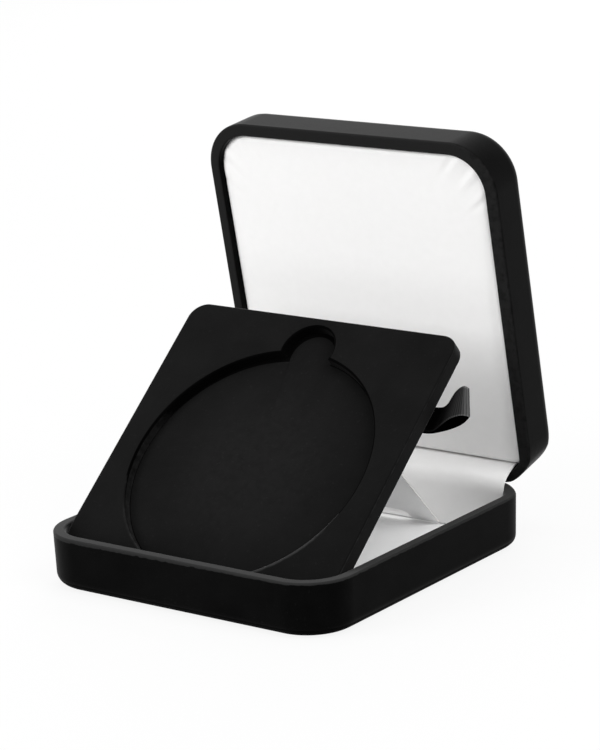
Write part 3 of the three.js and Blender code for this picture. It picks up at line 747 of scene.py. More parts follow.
sockets = [cutter_rod(PIN_HOLE, side * SOCKET_INNER, side * SOCKET_OUTER, PIVOT_Y, PIVOT_Z) for side in (-1, 1)]
base_section = shell_section(BASE_HEIGHT, draft_deg=1.5, far_radius=3.5, floor=1.3, inside_radius=1.0)
base = shell("base_flocked", flocked_plastic, BASE_HEIGHT, -1, base_section, sockets=sockets)
# The foot gets the copy with little sheen, so that it stays dark: painted shade.
second_finish(base, shaded_foot_flock, lambda face: face.center.z < FOOT_TOP)
settle(base, IN_BASE, "base", "base_shell")
lid_corners = (LID_TIGHTER, LID_TIGHTER + INNER_TIGHTER)
lid_section = shell_section(LID_HEIGHT, draft_deg=3.5, far_radius=4.5, floor=1.6, inside_radius=2.0)
lid = shell("lid_flocked", flocked_lid, LID_RIM, 1, lid_section, LID_LIP, lid_corners, right_shade=0.5)
settle(lid, IN_LID, "lid", "lid_shell")

# %% [markdown]
# ## The tray
#
# The tray is a board wrapped in velour, with a hole for the medal that opens into a smaller one for
# its lug. Two sets of rings make its rounded edges, one outside and one round the hole, and the two
# broad faces between them are filled with triangles by Blender's own tessellator. Its front edge is
# a nose that is round about the pivot, so that it can turn in the corner of the base.

# %% The recess and the tray's outline
TRAY_HALF, TRAY_WIDTH, TRAY_LENGTH = 2.3, 93.0, 90.0
TRAY_FRONT_RADIUS, TRAY_REAR_RADIUS = 14.0, 5.5
RECESS_RADIUS, RECESS_Y, RECESS_STEPS = 38.0, 39.8, 150
NOTCH_RADIUS, NOTCH_Y, NOTCH_STEPS = 8.2, 78.9, 40
TRAY_EDGE, EDGE_STEPS = 0.6, 5


def recess_outline(inset):
    large, small, apart = RECESS_RADIUS - inset, NOTCH_RADIUS - inset, NOTCH_Y - RECESS_Y
    wide = math.acos((large**2 + apart**2 - small**2) / (2 * large * apart))
    tight = math.acos((small**2 + apart**2 - large**2) / (2 * small * apart))
    points = []
    for i in range(RECESS_STEPS + 1):
        a = math.pi / 2 + wide + 2 * (math.pi - wide) * i / RECESS_STEPS
        points.append((large * math.cos(a), RECESS_Y + large * math.sin(a)))
    for i in range(1, NOTCH_STEPS):
        a = tight - math.pi / 2 + 2 * (math.pi - tight) * i / NOTCH_STEPS
        points.append((small * math.cos(a), NOTCH_Y + small * math.sin(a)))
    return points


def tray_outline(inset):
    half_x, front, rear = TRAY_WIDTH / 2 - inset, inset - TRAY_HALF, TRAY_LENGTH - inset
    return rounded_rectangle(half_x, front, rear, TRAY_FRONT_RADIUS - inset, TRAY_REAR_RADIUS - inset)


def broad_face(points, *rings):
    """Triangles over a flat face that one ring of point numbers bounds, with others as holes."""
    index = [i for ring in rings for i in ring]
    loops = [[Vector(points[i]) for i in ring] for ring in rings]
    return [tuple(index[i] for i in face) for face in tessellate_polygon(loops)]


# %% The tray platform
LIT_BAND = 0.9
NOSE_STEPS, NOSE_CUT, PIN_HOLE_FROM, BEYOND = 24, 6, 36.0, 60.0


def edge_rings(outline, sign):
    """Rings up a rounded edge: sign 1 draws the broad faces in, and -1 opens the hole there."""
    around = round_edge(TRAY_EDGE, EDGE_STEPS)
    levels = [(over, down - TRAY_HALF) for over, down in reversed(around)]
    levels += [(over, TRAY_HALF - down) for over, down in around]
    return [[(x, y, z) for x, y in outline(sign * over)] for over, z in levels]


outer_points, outer_faces = loft(edge_rings(tray_outline, 1), close=False)
# The band round the recess that gets the painted highlight.
lit_ring = [(x, y, TRAY_HALF) for x, y in recess_outline(-TRAY_EDGE - LIT_BAND)]
inner_points, inner_faces = loft(edge_rings(recess_outline, -1) + [lit_ring], close=False)
shift = len(outer_points)
tray_points = outer_points + inner_points
tray_faces = outer_faces + [tuple(i + shift for i in face) for face in inner_faces]
outer_count, inner_count = len(tray_outline(0)), len(recess_outline(0))
for outer, inner in ((0, shift), (shift - outer_count, len(tray_points) - inner_count)):
    tray_faces += broad_face(tray_points, range(outer, outer + outer_count), range(inner, inner + inner_count))

tray = new_piece("tray_velour", tray_points, tray_faces, velour, "velour")
nose_turns = [math.pi / 2 + math.pi * i / NOSE_STEPS for i in range(NOSE_STEPS + 1)]
around_nose = [(0, -NOSE_CUT), (-NOSE_CUT, -NOSE_CUT), (-NOSE_CUT, NOSE_CUT), (0, NOSE_CUT)]
around_nose += [(TRAY_HALF * math.cos(a), TRAY_HALF * math.sin(a)) for a in nose_turns]
nose_cutter = loft([[(x, y, z) for y, z in around_nose] for x in (-BEYOND, BEYOND)])
pin_holes = [cutter_rod(PIN_HOLE, side * PIN_HOLE_FROM, side * BEYOND, 0, 0) for side in (-1, 1)]
cut(tray, [nose_cutter, *pin_holes])

# %% [markdown]
# Three materials share the piece: the velour of the broad face, a copy tuned to the light on its
# outer sides, and a dark copy that paints the shade on the deep wall of the recess. Its outer edges get
# a painted highlight, and so does the lower arc of the recess, where its edge catches the light.

# %% Three copies of the velour, and painted light on the tray
SIDE_SLOPE, LEVEL = 0.5, 0.999
OUTER_HIGHLIGHT, LEFT_WALL_LIGHT = 0.55, 0.4
LIT_FROM, LIT_TO, LIT_LEVEL, LIT_LEFT = 0.3, 0.6, 0.8, 0.3


def near_recess(x, y):
    """Whether a point lies over the hole or less than 1 mm beside it."""
    holes = ((RECESS_Y, RECESS_RADIUS), (NOTCH_Y, NOTCH_RADIUS))
    return any(math.hypot(x, y - middle) < radius + 1 for middle, radius in holes)


def velour_painted_light(x, y, z):
    """How much painted light the tray gets. An outer edge gets a painted highlight, most halfway round. The
    lower right arc of the recess gets one too, up to a little past its edge, but not the upper one. The
    left wall of the recess is painted lighter, where it faces the light."""
    past = (abs(z) - (TRAY_HALF - TRAY_EDGE)) / TRAY_EDGE
    inside, up = near_recess(x, y), (y - RECESS_Y) / RECESS_RADIUS
    lit_arc = eased(-up, LIT_FROM, LIT_TO) * (LIT_LEFT + (1 - LIT_LEFT) * eased(x, -22, -4))
    if 0.01 < past < 0.99:
        return lit_arc if inside else OUTER_HIGHLIGHT * math.sin(math.pi * past) ** 2
    if past >= 0.99:
        return LIT_LEVEL * lit_arc if z > 0 and inside else 0.0
    return LEFT_WALL_LIGHT * (1 - eased(up, 0.1, 0.6)) if inside and x < 0 else 0.0


def on_side(face):
    return abs(face.normal.z) < SIDE_SLOPE and not near_recess(*face.center[:2])


def deep_in_recess(face):
    """The wall of the recess and its edge, which take the dark copy as painted shade, but not the arc
    with the painted highlight.
    """
    lit_arc = face.normal.z > SIDE_SLOPE and face.center.y < RECESS_Y - LIT_FROM * RECESS_RADIUS
    return near_recess(*face.center[:2]) and abs(face.normal.z) <= LEVEL and not lit_arc


# The sides take the copy tuned to their light, and the recess the dark copy as painted shade.
second_finish(tray, side_light_velour, on_side)
second_finish(tray, shadow_velour, deep_in_recess)
mark_painted_light(tray, (velour_painted_light(*vertex.co) for vertex in tray.data.vertices))
weigh_normals(tray)
settle(tray, IN_TRAY, "tray", "tray_platform")

# %% [markdown]
# The recess is closed by a board of its own, wrapped in the same velour and glued in from behind. Its
# edge is round, so a fine dark line is left where it meets the wall. It is a little larger than the
# hole, so that no light comes through beside it. Along the upper wall a band of it is painted black as
# the wall's shadow, and its middle is painted a little lighter, as painted light away from the walls.

# %% The floor of the recess
RECESS_DEPTH, FLOOR_EDGE, FLOOR_TUCK, FLOOR_BACK = 3.1, 0.35, 0.15, 0.05
RECESS_TOP = TRAY_HALF - RECESS_DEPTH
SHADOW_BAND, SHADOW_TOWARDS, SHADOW_LEAST = 1.3, (-0.35, 0.94), 0.05
FLOOR_LIGHT_STEPS = ((0.85, 0.08), (0.65, 0.3), (0.45, 0.6), (0.2, 0.75))  # share of the way out, and painted light there

floor_rings = [[(x, y, FLOOR_BACK - TRAY_HALF) for x, y in recess_outline(-FLOOR_TUCK)]]
for over, down in round_edge(FLOOR_EDGE, EDGE_STEPS):
    floor_rings.append([(x, y, RECESS_TOP - down) for x, y in recess_outline(over - FLOOR_TUCK)])
flat_inset = FLOOR_EDGE - FLOOR_TUCK
# A painted shadow: a band along the upper wall that takes the dark copy.
shadow_ring = []
for near, far in zip(recess_outline(flat_inset), recess_outline(flat_inset + SHADOW_BAND)):
    out_x, out_y = near[0] - far[0], near[1] - far[1]
    facing = (out_x * SHADOW_TOWARDS[0] + out_y * SHADOW_TOWARDS[1]) / math.hypot(out_x, out_y)
    shadow_ring.append((*between(near, far, max(SHADOW_LEAST, facing)), RECESS_TOP))
around_floor = len(shadow_ring)
shadow_faces = range((len(floor_rings) - 1) * around_floor, len(floor_rings) * around_floor)
floor_rings.append(shadow_ring)
floor_light = [0.0] * (len(floor_rings) * around_floor)
# Painted light, rising towards the middle of the floor.
for share, lit_amount in FLOOR_LIGHT_STEPS:
    floor_rings.append([(x * share, RECESS_Y + (y - RECESS_Y) * share, z) for x, y, z in shadow_ring])
    floor_light += [lit_amount] * around_floor
points, faces = loft(floor_rings, close=False)
for start in (0, len(points) - around_floor):
    faces += broad_face(points, range(start, start + around_floor))
recess = new_piece("recess_velour", points, faces, velour_floor, "velour")
second_finish(recess, shadow_velour, lambda face: abs(face.normal.z) < LEVEL or face.index in shadow_faces)
mark_painted_light(recess, floor_light)
weigh_normals(recess)
settle(recess, IN_TRAY, "tray", "recess_floor")

# %% [markdown]
# ## The satin pad
#
# The pad is foam on a board, with satin drawn tight over it and glued behind. It is flat in the
# middle, rolls down at its edges, and where the cloth goes round a corner there is too much of it, so
# it gathers into small pleats. The form is a loft from the edge to the middle, with the pleats and the
# soft unevenness of the roll added to the depth.

# %% The outline of the pad, and how far round it each point is
SIDE_GAP, SEAM_Y, PAD_STEPS = 0.3, 45.8, 360
PAD_LIP = (LID_LIP[0] - 0.2, LID_LIP[1] - 0.2, LID_LIP[2])  # a little less than the lid's own


def even_steps(points, count):
    """A closed line laid out again with points at even distances."""
    line = np.array(points + points[:1], float)
    reach = run_along(line)
    at = np.linspace(0, reach[-1], count, endpoint=False)
    return np.stack([np.interp(at, reach, line[:, i]) for i in range(2)], 1)


pad_outline = case_outline(WALL + SIDE_GAP, PAD_LIP, lid_corners[1])
pad_edge = even_steps([(x, min(y, SEAM_Y)) for x, y in pad_outline], PAD_STEPS)
PAD_HALF_X = CASE_WIDTH / 2 - WALL - SIDE_GAP
PAD_FRONT = -REAR_WALL + SIDE_GAP
PAD_MIDDLE, PAD_HALF_Y = (PAD_FRONT + SEAM_Y) / 2, (SEAM_Y - PAD_FRONT) / 2
print("pad is", round(2 * PAD_HALF_X, 1), "by", round(2 * PAD_HALF_Y, 1), "mm")

# %% The form of the pad
CROWN_DEPTH, SHOULDER_DEPTH, EDGE_DEPTH, PAD_BACK_DEPTH = 0.8, 1.2, 2.5, 11.8
ROLL_WIDTH, ROLL_STEPS, DRAW = 1.9, 12, 0.2
CROWN_RINGS, INNERMOST, CROWN_CROWDING = 34, 0.97, 1.15
PAD_CORNER = CORNER_RADIUS - WALL - SIDE_GAP
CORNER_X, CORNER_Y = PAD_HALF_X - PAD_CORNER, PAD_FRONT + PAD_CORNER
PLEAT_SPREAD, PLEATS_RIGHT, PLEATS_LEFT = 6, (0.6, 0.16), (1.9, 0.12)  # each side's phase and height
PLEAT_WAVES = ((11, 1.0, 1.0), (19, 0.6, 2.2), (31, 0.35, 1.0))  # how many, how high, share of the phase
CREASE_FROM, CREASE_SOFT = 8, 0.12


def corner_share(x, y):
    """1 in the middle of a front corner's arc, down to 0 at its ends and along the sides."""
    across, down = abs(x) - CORNER_X + PLEAT_SPREAD, CORNER_Y - y + PLEAT_SPREAD
    if across <= 0 or down <= 0:
        return 0.0
    return max(0.0, math.sin(2 * math.atan2(down, across))) ** 0.7


def pleats(x, y, inset):
    """How far the cloth stands up in gathers that run in from the front corners."""
    share = corner_share(x, y)
    if share == 0.0:
        return 0.0
    turn = math.atan2(CORNER_Y - y, abs(x) - CORNER_X)
    phase, height = PLEATS_RIGHT if x > 0 else PLEATS_LEFT
    wave = sum(high * math.sin(many * turn + part * phase) for many, high, part in PLEAT_WAVES)
    reach = math.exp(-(((inset - 1.6) / 3.0) ** 2)) + 0.25 * math.exp(-(((inset - 5) / 5.0) ** 2))
    return height * share * wave * reach


def slant(x, y):
    """How far the cloth falls off beside its long edges, past a crease that leaves the edge
    towards the seam."""
    start = PAD_FRONT + CREASE_FROM
    down = min(1.0, max(0.0, (y - start) / (SEAM_Y - start)))
    width = 2.0 + 6.0 * down
    near = 1 - (PAD_HALF_X - abs(x)) / width
    return (0.25 + 0.75 * down) * 0.5 * (near + math.hypot(near, CREASE_SOFT))


def pad_point(edge, share):
    """A point at a share of the way from the edge to the middle: x, y and depth below the lid's rim."""
    x, y = edge
    inset = share * PAD_HALF_X
    along = (y - PAD_MIDDLE) / PAD_HALF_Y
    across = x / PAD_HALF_X
    x *= 1 - DRAW / PAD_HALF_X * max(0.0, 1 - along * along)
    y = PAD_MIDDLE + (y - PAD_MIDDLE) * (1 - DRAW / PAD_HALF_Y * max(0.0, 1 - across * across))
    px, py = x * (1 - share), PAD_MIDDLE + (y - PAD_MIDDLE) * (1 - share)
    if inset < ROLL_WIDTH:
        angle = math.acos(max(-1.0, min(1.0, 1 - inset / ROLL_WIDTH)))
        depth = EDGE_DEPTH - (EDGE_DEPTH - SHOULDER_DEPTH) * math.sin(angle)
    else:
        out = 1 - (inset - ROLL_WIDTH) / (PAD_HALF_X - ROLL_WIDTH)
        depth = CROWN_DEPTH + (SHOULDER_DEPTH - CROWN_DEPTH) * out * out
    depth += slant(px, py) * min(1.0, inset / ROLL_WIDTH) - pleats(x, y, inset)
    return (px, py, LID_RIM + depth)


roll_shares = [over / PAD_HALF_X for over, _ in round_edge(ROLL_WIDTH, ROLL_STEPS)]
crown_steps = [(k / CROWN_RINGS) ** CROWN_CROWDING for k in range(1, CROWN_RINGS + 1)]
crown_shares = [roll_shares[-1] + (INNERMOST - roll_shares[-1]) * step for step in crown_steps]
pad_rings = [[(*pad_point(edge, 0.0)[:2], LID_RIM + PAD_BACK_DEPTH) for edge in pad_edge]]
pad_rings += [[pad_point(edge, share) for edge in pad_edge] for share in roll_shares + crown_shares]
points, faces = loft(pad_rings)
pad = new_piece("pad_satin", points, faces, satin, "satin", [(x + 100, y + 100) for x, y, _ in points])
settle(pad, IN_LID, "lid", "lid_pad")

# %% [markdown]
# ## The satin strip over the hinge
#
# One strip of the same satin runs up from the floor in front of the rear wall, turns back over the
# hinge and is tucked in beside the pad. It has to bend when the lid moves. Here it is drawn for the
# open lid, with its foot on the base and its end on the lid, turning smoothly in between.

# %% The line of the strip
STRIP_FACE, STRIP_LEAN, STRIP_SHOULDER, STRIP_HALF = 45.3, 0.6, 14.2, 0.2
STRIP_HALF_WIDTH = half_width_at(STRIP_FACE + 0.4, WALL) - SIDE_GAP + 0.05
SEAM_RISE, SEAM_DEPTH, TUCK_DEPTH = 5.1, 1.6, 6.0
TURN_HEIGHT, TURN_DEPTH = 4.4, 4.7
RISE_STEPS, TURN_STEPS, TUCK_STEPS = 14, 28, 5


def lid_point(rise, depth):
    """A point of the open lid in the middle plane: rise from the hinge axis, depth below the rim."""
    c, s = math.cos(math.radians(LID_OPEN)), math.sin(math.radians(LID_OPEN))
    y, z = -rise, LID_RIM - HINGE_Z + depth
    return (HINGE_Y + y * c + z * s, HINGE_Z - y * s + z * c)


def bezier(a, b, c, d, steps):
    line = []
    for i in range(steps + 1):
        t = i / steps
        weights = ((1 - t) ** 3, 3 * t * (1 - t) ** 2, 3 * t * t * (1 - t), t**3)
        line.append(tuple(sum(w * p[k] for w, p in zip(weights, (a, b, c, d))) for k in (0, 1)))
    return line


foot = (STRIP_FACE + STRIP_HALF, LINING_FOOT)
shoulder = (STRIP_FACE - STRIP_LEAN, STRIP_SHOULDER)
seam, tuck = lid_point(SEAM_RISE, SEAM_DEPTH), lid_point(SEAM_RISE, TUCK_DEPTH)
pulls = (shoulder[0], shoulder[1] + TURN_HEIGHT), (seam[0] - TURN_DEPTH, seam[1] - TURN_DEPTH / 3)
strip_line = [between(foot, shoulder, i / RISE_STEPS) for i in range(RISE_STEPS)]
strip_line += bezier(shoulder, *pulls, seam, TURN_STEPS)
strip_line += [between(seam, tuck, i / TUCK_STEPS) for i in range(1, TUCK_STEPS + 1)]
strip_run = run_along(strip_line)
print("the strip is", round(2 * STRIP_HALF_WIDTH, 1), "mm wide and", round(strip_run[-1], 1), "mm long")

# %% The strip as a thin cloth with two faces
def thin_cloth(line, stations, half_thickness, wave=lambda x, run_mm: 0.0, widening=lambda run_mm: 1.0):
    """Rings across a line of (y, z) points, each ring a thin flat loop, so that the cloth has two faces."""
    rings, uvs, count = [], [], len(stations)
    for i, run_mm in enumerate(run_along(line)):
        before, here, after = line[max(0, i - 1)], line[i], line[min(len(line) - 1, i + 1)]
        along = Vector((after[0] - before[0], after[1] - before[1])).normalized()
        ring = []
        for side in (1, -1):
            for x in stations if side > 0 else reversed(stations):
                out = side * half_thickness + wave(x, run_mm)
                ring.append((x * widening(run_mm), here[0] - along.y * out, here[1] + along.x * out))
                uvs.append((x + 100, run_mm))
        rings.append(ring)
    points, faces = loft(rings, close=False)
    for start in (0, len(points) - 2 * count):
        for i in range(count - 1):
            opposite = start + 2 * count - 1 - i
            faces.append((start + i, start + i + 1, opposite - 1, opposite))
    return points, faces, uvs


def strip_wave(x, run_mm):
    """Soft cross waves, only where the strip is free to bulge."""
    free = math.sin(math.pi * min(1.0, run_mm / strip_run[-1]))
    return 0.09 * free * (math.sin(0.21 * x + 0.4 * run_mm) + 0.6 * math.sin(0.37 * x - 0.3 * run_mm + 1.1))


def strip_widening(run_mm):
    """The strip is a little wider where it leaves the round corners of the base."""
    at_seam = strip_run[-1] - (TUCK_DEPTH - SEAM_DEPTH)
    return 1 + (1.25 * eased(run_mm, 5, 12) - 0.6 * eased(run_mm, at_seam - 8, at_seam)) / STRIP_HALF_WIDTH


strip_stations = [STRIP_HALF_WIDTH * (2 * i / 60 - 1) for i in range(61)]
points, faces, uvs = thin_cloth(strip_line, strip_stations, STRIP_HALF, strip_wave, strip_widening)
strip = new_piece("strip_satin", points, faces, satin, "satin", uvs)
settle(strip, IN_BASE, None, "hinge_strip")
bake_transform(strip)

# %% [markdown]
# ## The stay
#
# A folding card props the tray. It is the simplest piece of all, and its edges matter: where the card
# is cut, its edges are coloured duller than the white faces, and they have a slight round from the die.
# Its foot is cut out in a low arch.

# %% The stay
STAY_SLOPE, STAY_THICKNESS, STAY_HALF_WIDTH, STAY_LENGTH = math.radians(46.8), 0.35, 21.5, 58.15
ARCH_HALF, ARCH_HEIGHT, ARCH_RADIUS, ARCH_STEPS = 12.0, 4.3, 2.0, 8
STAY_GAP, DIE_ROUND = 0.4, 0.06
STAY_FOOT_Y = STRIP_FACE - STAY_GAP - STAY_THICKNESS * math.sin(STAY_SLOPE)
STAY_FOOT_Z = LINING_FOOT


def stay_outline():
    arch = [(over - ARCH_HALF, ARCH_HEIGHT - down) for over, down in round_edge(ARCH_RADIUS, ARCH_STEPS)]
    left = [(-STAY_HALF_WIDTH, STAY_LENGTH), (-STAY_HALF_WIDTH, 0), (-ARCH_HALF, 0)] + arch
    return left + [(-x, y) for x, y in reversed(left)]


def stay_place(x, up, out):
    s, c = math.sin(STAY_SLOPE), math.cos(STAY_SLOPE)
    return (-x, STAY_FOOT_Y - (up * c - out * s), STAY_FOOT_Z + up * s + out * c)


stay_rings = [[stay_place(x, up, out) for x, up in stay_outline()] for out in (0, STAY_THICKNESS)]
stay = new_piece("stay_card", *loft(stay_rings), white_card, "white_card")
broad = max(face.area for face in stay.data.polygons)
second_finish(stay, dull_card_edge, lambda face: face.area < 0.5 * broad)
settle(stay, IN_BASE, "base", "tray_stay")
edge_round = stay.modifiers.new("die_cut", "BEVEL")
edge_round.width, edge_round.segments, edge_round.limit_method = DIE_ROUND * MM, 2, "ANGLE"
edge_round.material = 1
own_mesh(stay)

# %% [markdown]
# ## The ribbon pull
#
# A short loop of ribbon, glued under the tray, is what a finger takes hold of. The band follows a
# smooth line through a few measured points, out from under the tray's side, round a fold and back. At
# each point its width is turned a little further, from the tray's slope to upright.

# %% The line of the ribbon
RIBBON_HALF_WIDTH, RIBBON_HALF, RIBBON_TAIL, RIBBON_STEPS = 4.1, 0.22, 7.0, 170
RIBBON_RAILS = [
    ((46.3, 9.25, 49.1), (46.3, 2.97, 43.8)),
    ((48.8, 9.0, 49.6), (48.9, 2.8, 44.3)),
    ((50.7, 8.3, 50.8), (50.6, 3.0, 45.8)),
    ((52.3, 7.7, 52.7), (52.0, 3.3, 47.1)),
    ((53.9, 7.0, 54.4), (53.4, 3.7, 48.4)),
    ((55.7, 6.3, 55.7), (55.2, 4.1, 49.6)),
    ((57.7, 5.6, 56.8), (57.3, 4.7, 50.1)),
    ((58.8, 5.3, 57.2), (58.8, 5.1, 49.6)),
    ((59.1, 5.7, 57.0), (59.1, 5.6, 49.1)),
    ((58.7, 6.2, 56.8), (58.7, 6.1, 48.6)),
    ((57.1, 7.2, 55.1), (57.1, 6.4, 47.1)),
    ((55.0, 8.5, 53.5), (55.0, 6.5, 45.7)),
    ((52.8, 9.1, 52.2), (52.8, 6.0, 44.6)),
    ((50.1, 9.8, 50.4), (50.1, 4.8, 43.7)),
    ((48.0, 10.0, 49.0), (48.0, 3.8, 43.2)),
    ((46.3, 9.76, 48.45), (46.3, 3.48, 43.15)),
]


def smooth_line(knots, steps):
    """A centripetal spline through knots of any width, with its points at even parameter steps."""
    knots = np.array(knots, float)
    gaps = np.sqrt(np.linalg.norm(np.diff(knots, axis=0), axis=1))
    times_at = np.concatenate([[0], np.cumsum(np.maximum(gaps, 1e-4))])
    slopes = np.gradient(knots, times_at, axis=0)
    line = []
    for t in np.linspace(0, times_at[-1], steps + 1):
        i = min(len(times_at) - 2, max(0, int(np.searchsorted(times_at, t)) - 1))
        span = times_at[i + 1] - times_at[i]
        s = (t - times_at[i]) / span
        line.append(
            (2 * s**3 - 3 * s**2 + 1) * knots[i] + (s**3 - 2 * s**2 + s) * span * slopes[i]
            + (3 * s**2 - 2 * s**3) * knots[i + 1] + (s**3 - s**2) * span * slopes[i + 1]
        )
    return np.array(line)


def tail(rail):
    """A station under the tray, straight in from a rail pair at the tray's side."""
    return tuple((x - RIBBON_TAIL, y, z) for x, y, z in rail)


rails = [tail(RIBBON_RAILS[0]), *RIBBON_RAILS, tail(RIBBON_RAILS[-1])]
ribbon_line = smooth_line([(*upper, *lower) for upper, lower in rails], RIBBON_STEPS)
ribbon_middle = (ribbon_line[:, :3] + ribbon_line[:, 3:]) / 2
ribbon_run = run_along(ribbon_middle)
print("the ribbon is", round(ribbon_run[-1], 1), "mm long")

# %% The section of the ribbon, and its painted highlight
selvedge = []
for a in (math.pi * i / 6 - math.pi / 2 for i in range(7)):
    selvedge.append((RIBBON_HALF_WIDTH - RIBBON_HALF * (1 - math.cos(a)), RIBBON_HALF * math.sin(a)))
upper_half = selvedge + [(RIBBON_HALF_WIDTH * k, RIBBON_HALF) for k in (0.88, 0.5, 0.0, -0.5, -0.88)]
RIBBON_SECTION = upper_half + [(-w, -t) for w, t in upper_half]
# A painted highlight on the outer run, rising towards the fold, more along the selvedges.
HIGHLIGHT_X = (51.5, 53.5, 55.3, 57.2, 58.8)
FACE_HIGHLIGHT, HEM_HIGHLIGHT = (0.0, 0.03, 0.08, 0.13, 0.5), (0.03, 0.1, 0.22, 0.4, 0.8)
HEM_FROM = 0.94 * RIBBON_HALF_WIDTH
HIGHLIGHT_END = int(np.argmax(ribbon_middle[:, 0])) + 4  # just past the fold


def ribbon_highlight(i, w):
    """A painted highlight lightens the outer run towards the fold, most along its selvedges. The inner run stays
    black.
    """
    glint = HEM_HIGHLIGHT if abs(w) > HEM_FROM else FACE_HIGHLIGHT
    return float(np.interp(ribbon_middle[i][0], HIGHLIGHT_X, glint)) if i <= HIGHLIGHT_END else 0.0


ribbon_rings, ribbon_uvs, ribbon_highlights = [], [], []
for i, station in enumerate(ribbon_line):
    ahead, behind = ribbon_middle[min(i + 1, RIBBON_STEPS)], ribbon_middle[max(i - 1, 0)]
    along = Vector(ahead - behind).normalized()
    across = Vector(station[:3] - station[3:]).normalized()
    normal = along.cross(across).normalized()
    centre = Vector(ribbon_middle[i])
    ribbon_rings.append([tuple(centre + across * w + normal * t) for w, t in RIBBON_SECTION])
    ribbon_uvs += [(w + 10, ribbon_run[i]) for w, _ in RIBBON_SECTION]
    ribbon_highlights += [ribbon_highlight(i, w) for w, _ in RIBBON_SECTION]
ribbon = new_piece("pull_ribbon", *loft(ribbon_rings), ribbon_weave, "ribbon", ribbon_uvs)
mark_painted_light(ribbon, ribbon_highlights)
settle(ribbon, IN_BASE, "tray", "ribbon_pull")
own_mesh(ribbon)

# %% [markdown]
# ## The hinge spring
#
# A bowed steel strip between the two leaves makes the lid snap. It is hidden behind the satin, and it
# bends with the lid. Here it is a thin band like the strip, drawn for the open lid, from the base to the lid.

# %% The spring
SEAT_GAP, LEAF_THICKNESS, KNUCKLE_RADIUS = 0.3, 0.5, 1.2
SPRING_HALF, SPRING_FOOT, SPRING_LOW, SPRING_BOW = 0.15, 2.5, 4.25, 0.6
SPRING_STATIONS = [-4, -3.8, -2, 0, 2, 3.8, 4]

leaf_face = HINGE_Y - (REAR_WALL - SEAT_GAP - LEAF_THICKNESS)
foot_y = HINGE_Y - leaf_face - SEAT_GAP - SPRING_HALF
foot_top = HINGE_Z - KNUCKLE_RADIUS - SPRING_LOW
spring_knots = [
    (foot_y, foot_top - SPRING_FOOT),
    (foot_y, foot_top),
    (foot_y - SPRING_BOW, HINGE_Z - KNUCKLE_RADIUS),
    lid_point(leaf_face + 0.9, KNUCKLE_RADIUS),
    lid_point(leaf_face + SEAT_GAP + SPRING_HALF, KNUCKLE_RADIUS + SPRING_LOW),
]
spring_line = [tuple(point) for point in smooth_line(spring_knots, 40)]
points, faces, uvs = thin_cloth(spring_line, SPRING_STATIONS, SPRING_HALF)
spring = new_piece("spring_bow", points, faces, spring_steel, "spring_steel", uvs)
settle(spring, IN_BASE, None, "hinge_spring")
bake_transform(spring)

# %% [markdown]
# ## The solids that stay
#
# The cards, the board of the pad, the hinge's leaves, its pin, the rivets and the tray's pins are
# already right in the frame. They only need their finish, which is looked up by the slot that the
# record gives each of them.

# %% Finishes for the solids of the frame
finishes = {
    "flocked_plastic": flocked_plastic,
    "velour": velour,
    "satin": satin,
    "ribbon": ribbon_weave,
    "white_card": white_card,
    "grey_board": grey_board,
    "spring_steel": spring_steel,
}
for part in frame["record"]["subparts"]:
    solid = nodes[part["node"]]
    solid.data.materials.clear()
    solid.data.materials.append(finishes[part["material_slot"]])

# %% [markdown]
# ## Floor, background and light
#
# The photograph has a white ground. The floor is a pale sheet that keeps the case's shadow, and the
# camera sees white where the world shows. In the light that it throws back, the floor is darker than
# it looks, or it would light the black walls from below. A soft light hangs overhead, others stand at
# the front left, at the right and behind, and the world fills the rest.

# %% The floor
FLOOR_REACH, FLOOR_DROP = 4.0, 0.0002
FLOOR_BOUNCE, FLOOR_SEEN, FLOOR_WHITE = 0.45, 0.6, 0.88


def mix_shaders(tree, share, shader, shown, end):
    """Lets another shader show by a share, and wires both to the end of the tree."""
    mix = add_node(tree, "ShaderNodeMixShader")
    for socket, source in zip(mix.inputs, (share, shader, shown)):
        tree.links.new(source, socket)
    tree.links.new(mix.outputs[0], tree.nodes[end].inputs["Surface"])


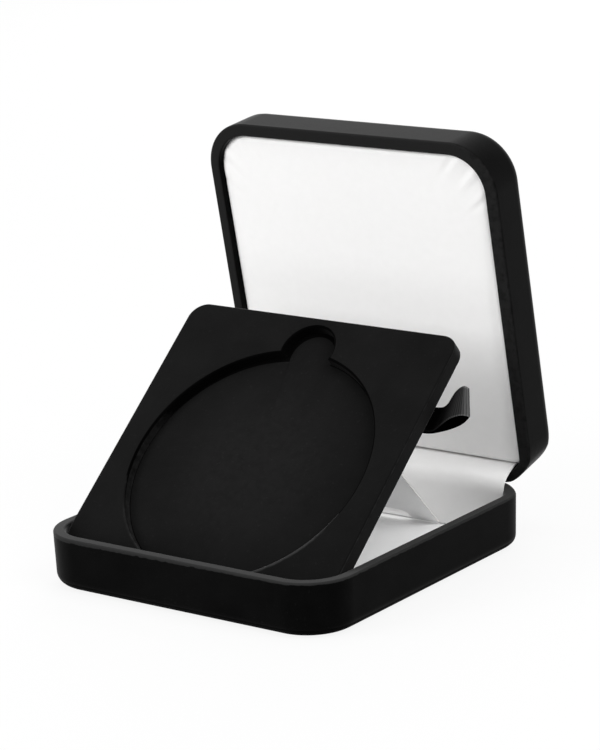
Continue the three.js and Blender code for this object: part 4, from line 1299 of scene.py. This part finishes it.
floor_mesh = bpy.data.meshes.new("studio_floor")
floor_mesh.from_pydata([(x * FLOOR_REACH, y * FLOOR_REACH, 0) for x, y in SQUARE], [], [(0, 1, 2, 3)])
floor = add_object("studio_floor", floor_mesh)
floor.location.z = -FLOOR_DROP
floor_material = bpy.data.materials.new("studio_floor")
floor_material.use_nodes = True
tree = floor_material.node_tree
shader = tree.nodes["Principled BSDF"]
shader.inputs["Roughness"].default_value = 0.9
shader.inputs["Specular IOR Level"].default_value = 0.1
seen = add_node(tree, "ShaderNodeLightPath").outputs["Is Camera Ray"]
tree.links.new(mixed(tree, seen, grey(FLOOR_BOUNCE), grey(FLOOR_SEEN)), shader.inputs["Base Color"])
shine = add_node(tree, "ShaderNodeEmission", {"Color": WHITE, "Strength": 1.0})
mix_shaders(tree, times(tree, seen, FLOOR_WHITE), shader.outputs[0], shine.outputs[0], "Material Output")
floor_mesh.materials.append(floor_material)

# %% The world
ROOM_LIGHT = 0.52

world = bpy.data.worlds.new("studio")
bpy.context.scene.world = world
world.use_nodes = True
tree = world.node_tree
room = tree.nodes["Background"]
room.inputs["Color"].default_value = WHITE
room.inputs["Strength"].default_value = ROOM_LIGHT
white = add_node(tree, "ShaderNodeBackground", {"Color": WHITE, "Strength": 1.0})
path = add_node(tree, "ShaderNodeLightPath").outputs
direct = plus(tree, path["Is Camera Ray"], path["Is Glossy Ray"])
direct = reckon(tree, "MINIMUM", plus(tree, direct, path["Is Transmission Ray"]), 1.0)
mix_shaders(tree, direct, room.outputs[0], white.outputs[0], "World Output")

# %% The lamps
def soft_light(name, place, aim, size, watts):
    data = bpy.data.lights.new(name, "AREA")
    data.shape, data.size, data.energy = "SQUARE", size, watts
    lamp = add_object(name, data)
    lamp.location = place
    lamp.rotation_mode = "QUATERNION"
    lamp.rotation_quaternion = (Vector(aim) - Vector(place)).to_track_quat("-Z", "Y")
    print("lamp", name, watts, "W")


soft_light("overhead", (-0.1, 0.05, 1.2), (0, 0, 0.03), size=0.8, watts=4.8)
soft_light("front_left", (-0.8, -1.05, 0.65), (0, 0, 0.06), size=0.9, watts=15.5)
soft_light("right", (0.75, -0.1, 0.8), (0, 0, 0.04), size=0.7, watts=7.0)
soft_light("behind", (-0.5, 1.15, 0.7), (0, 0.04, 0.06), size=0.9, watts=11.0)
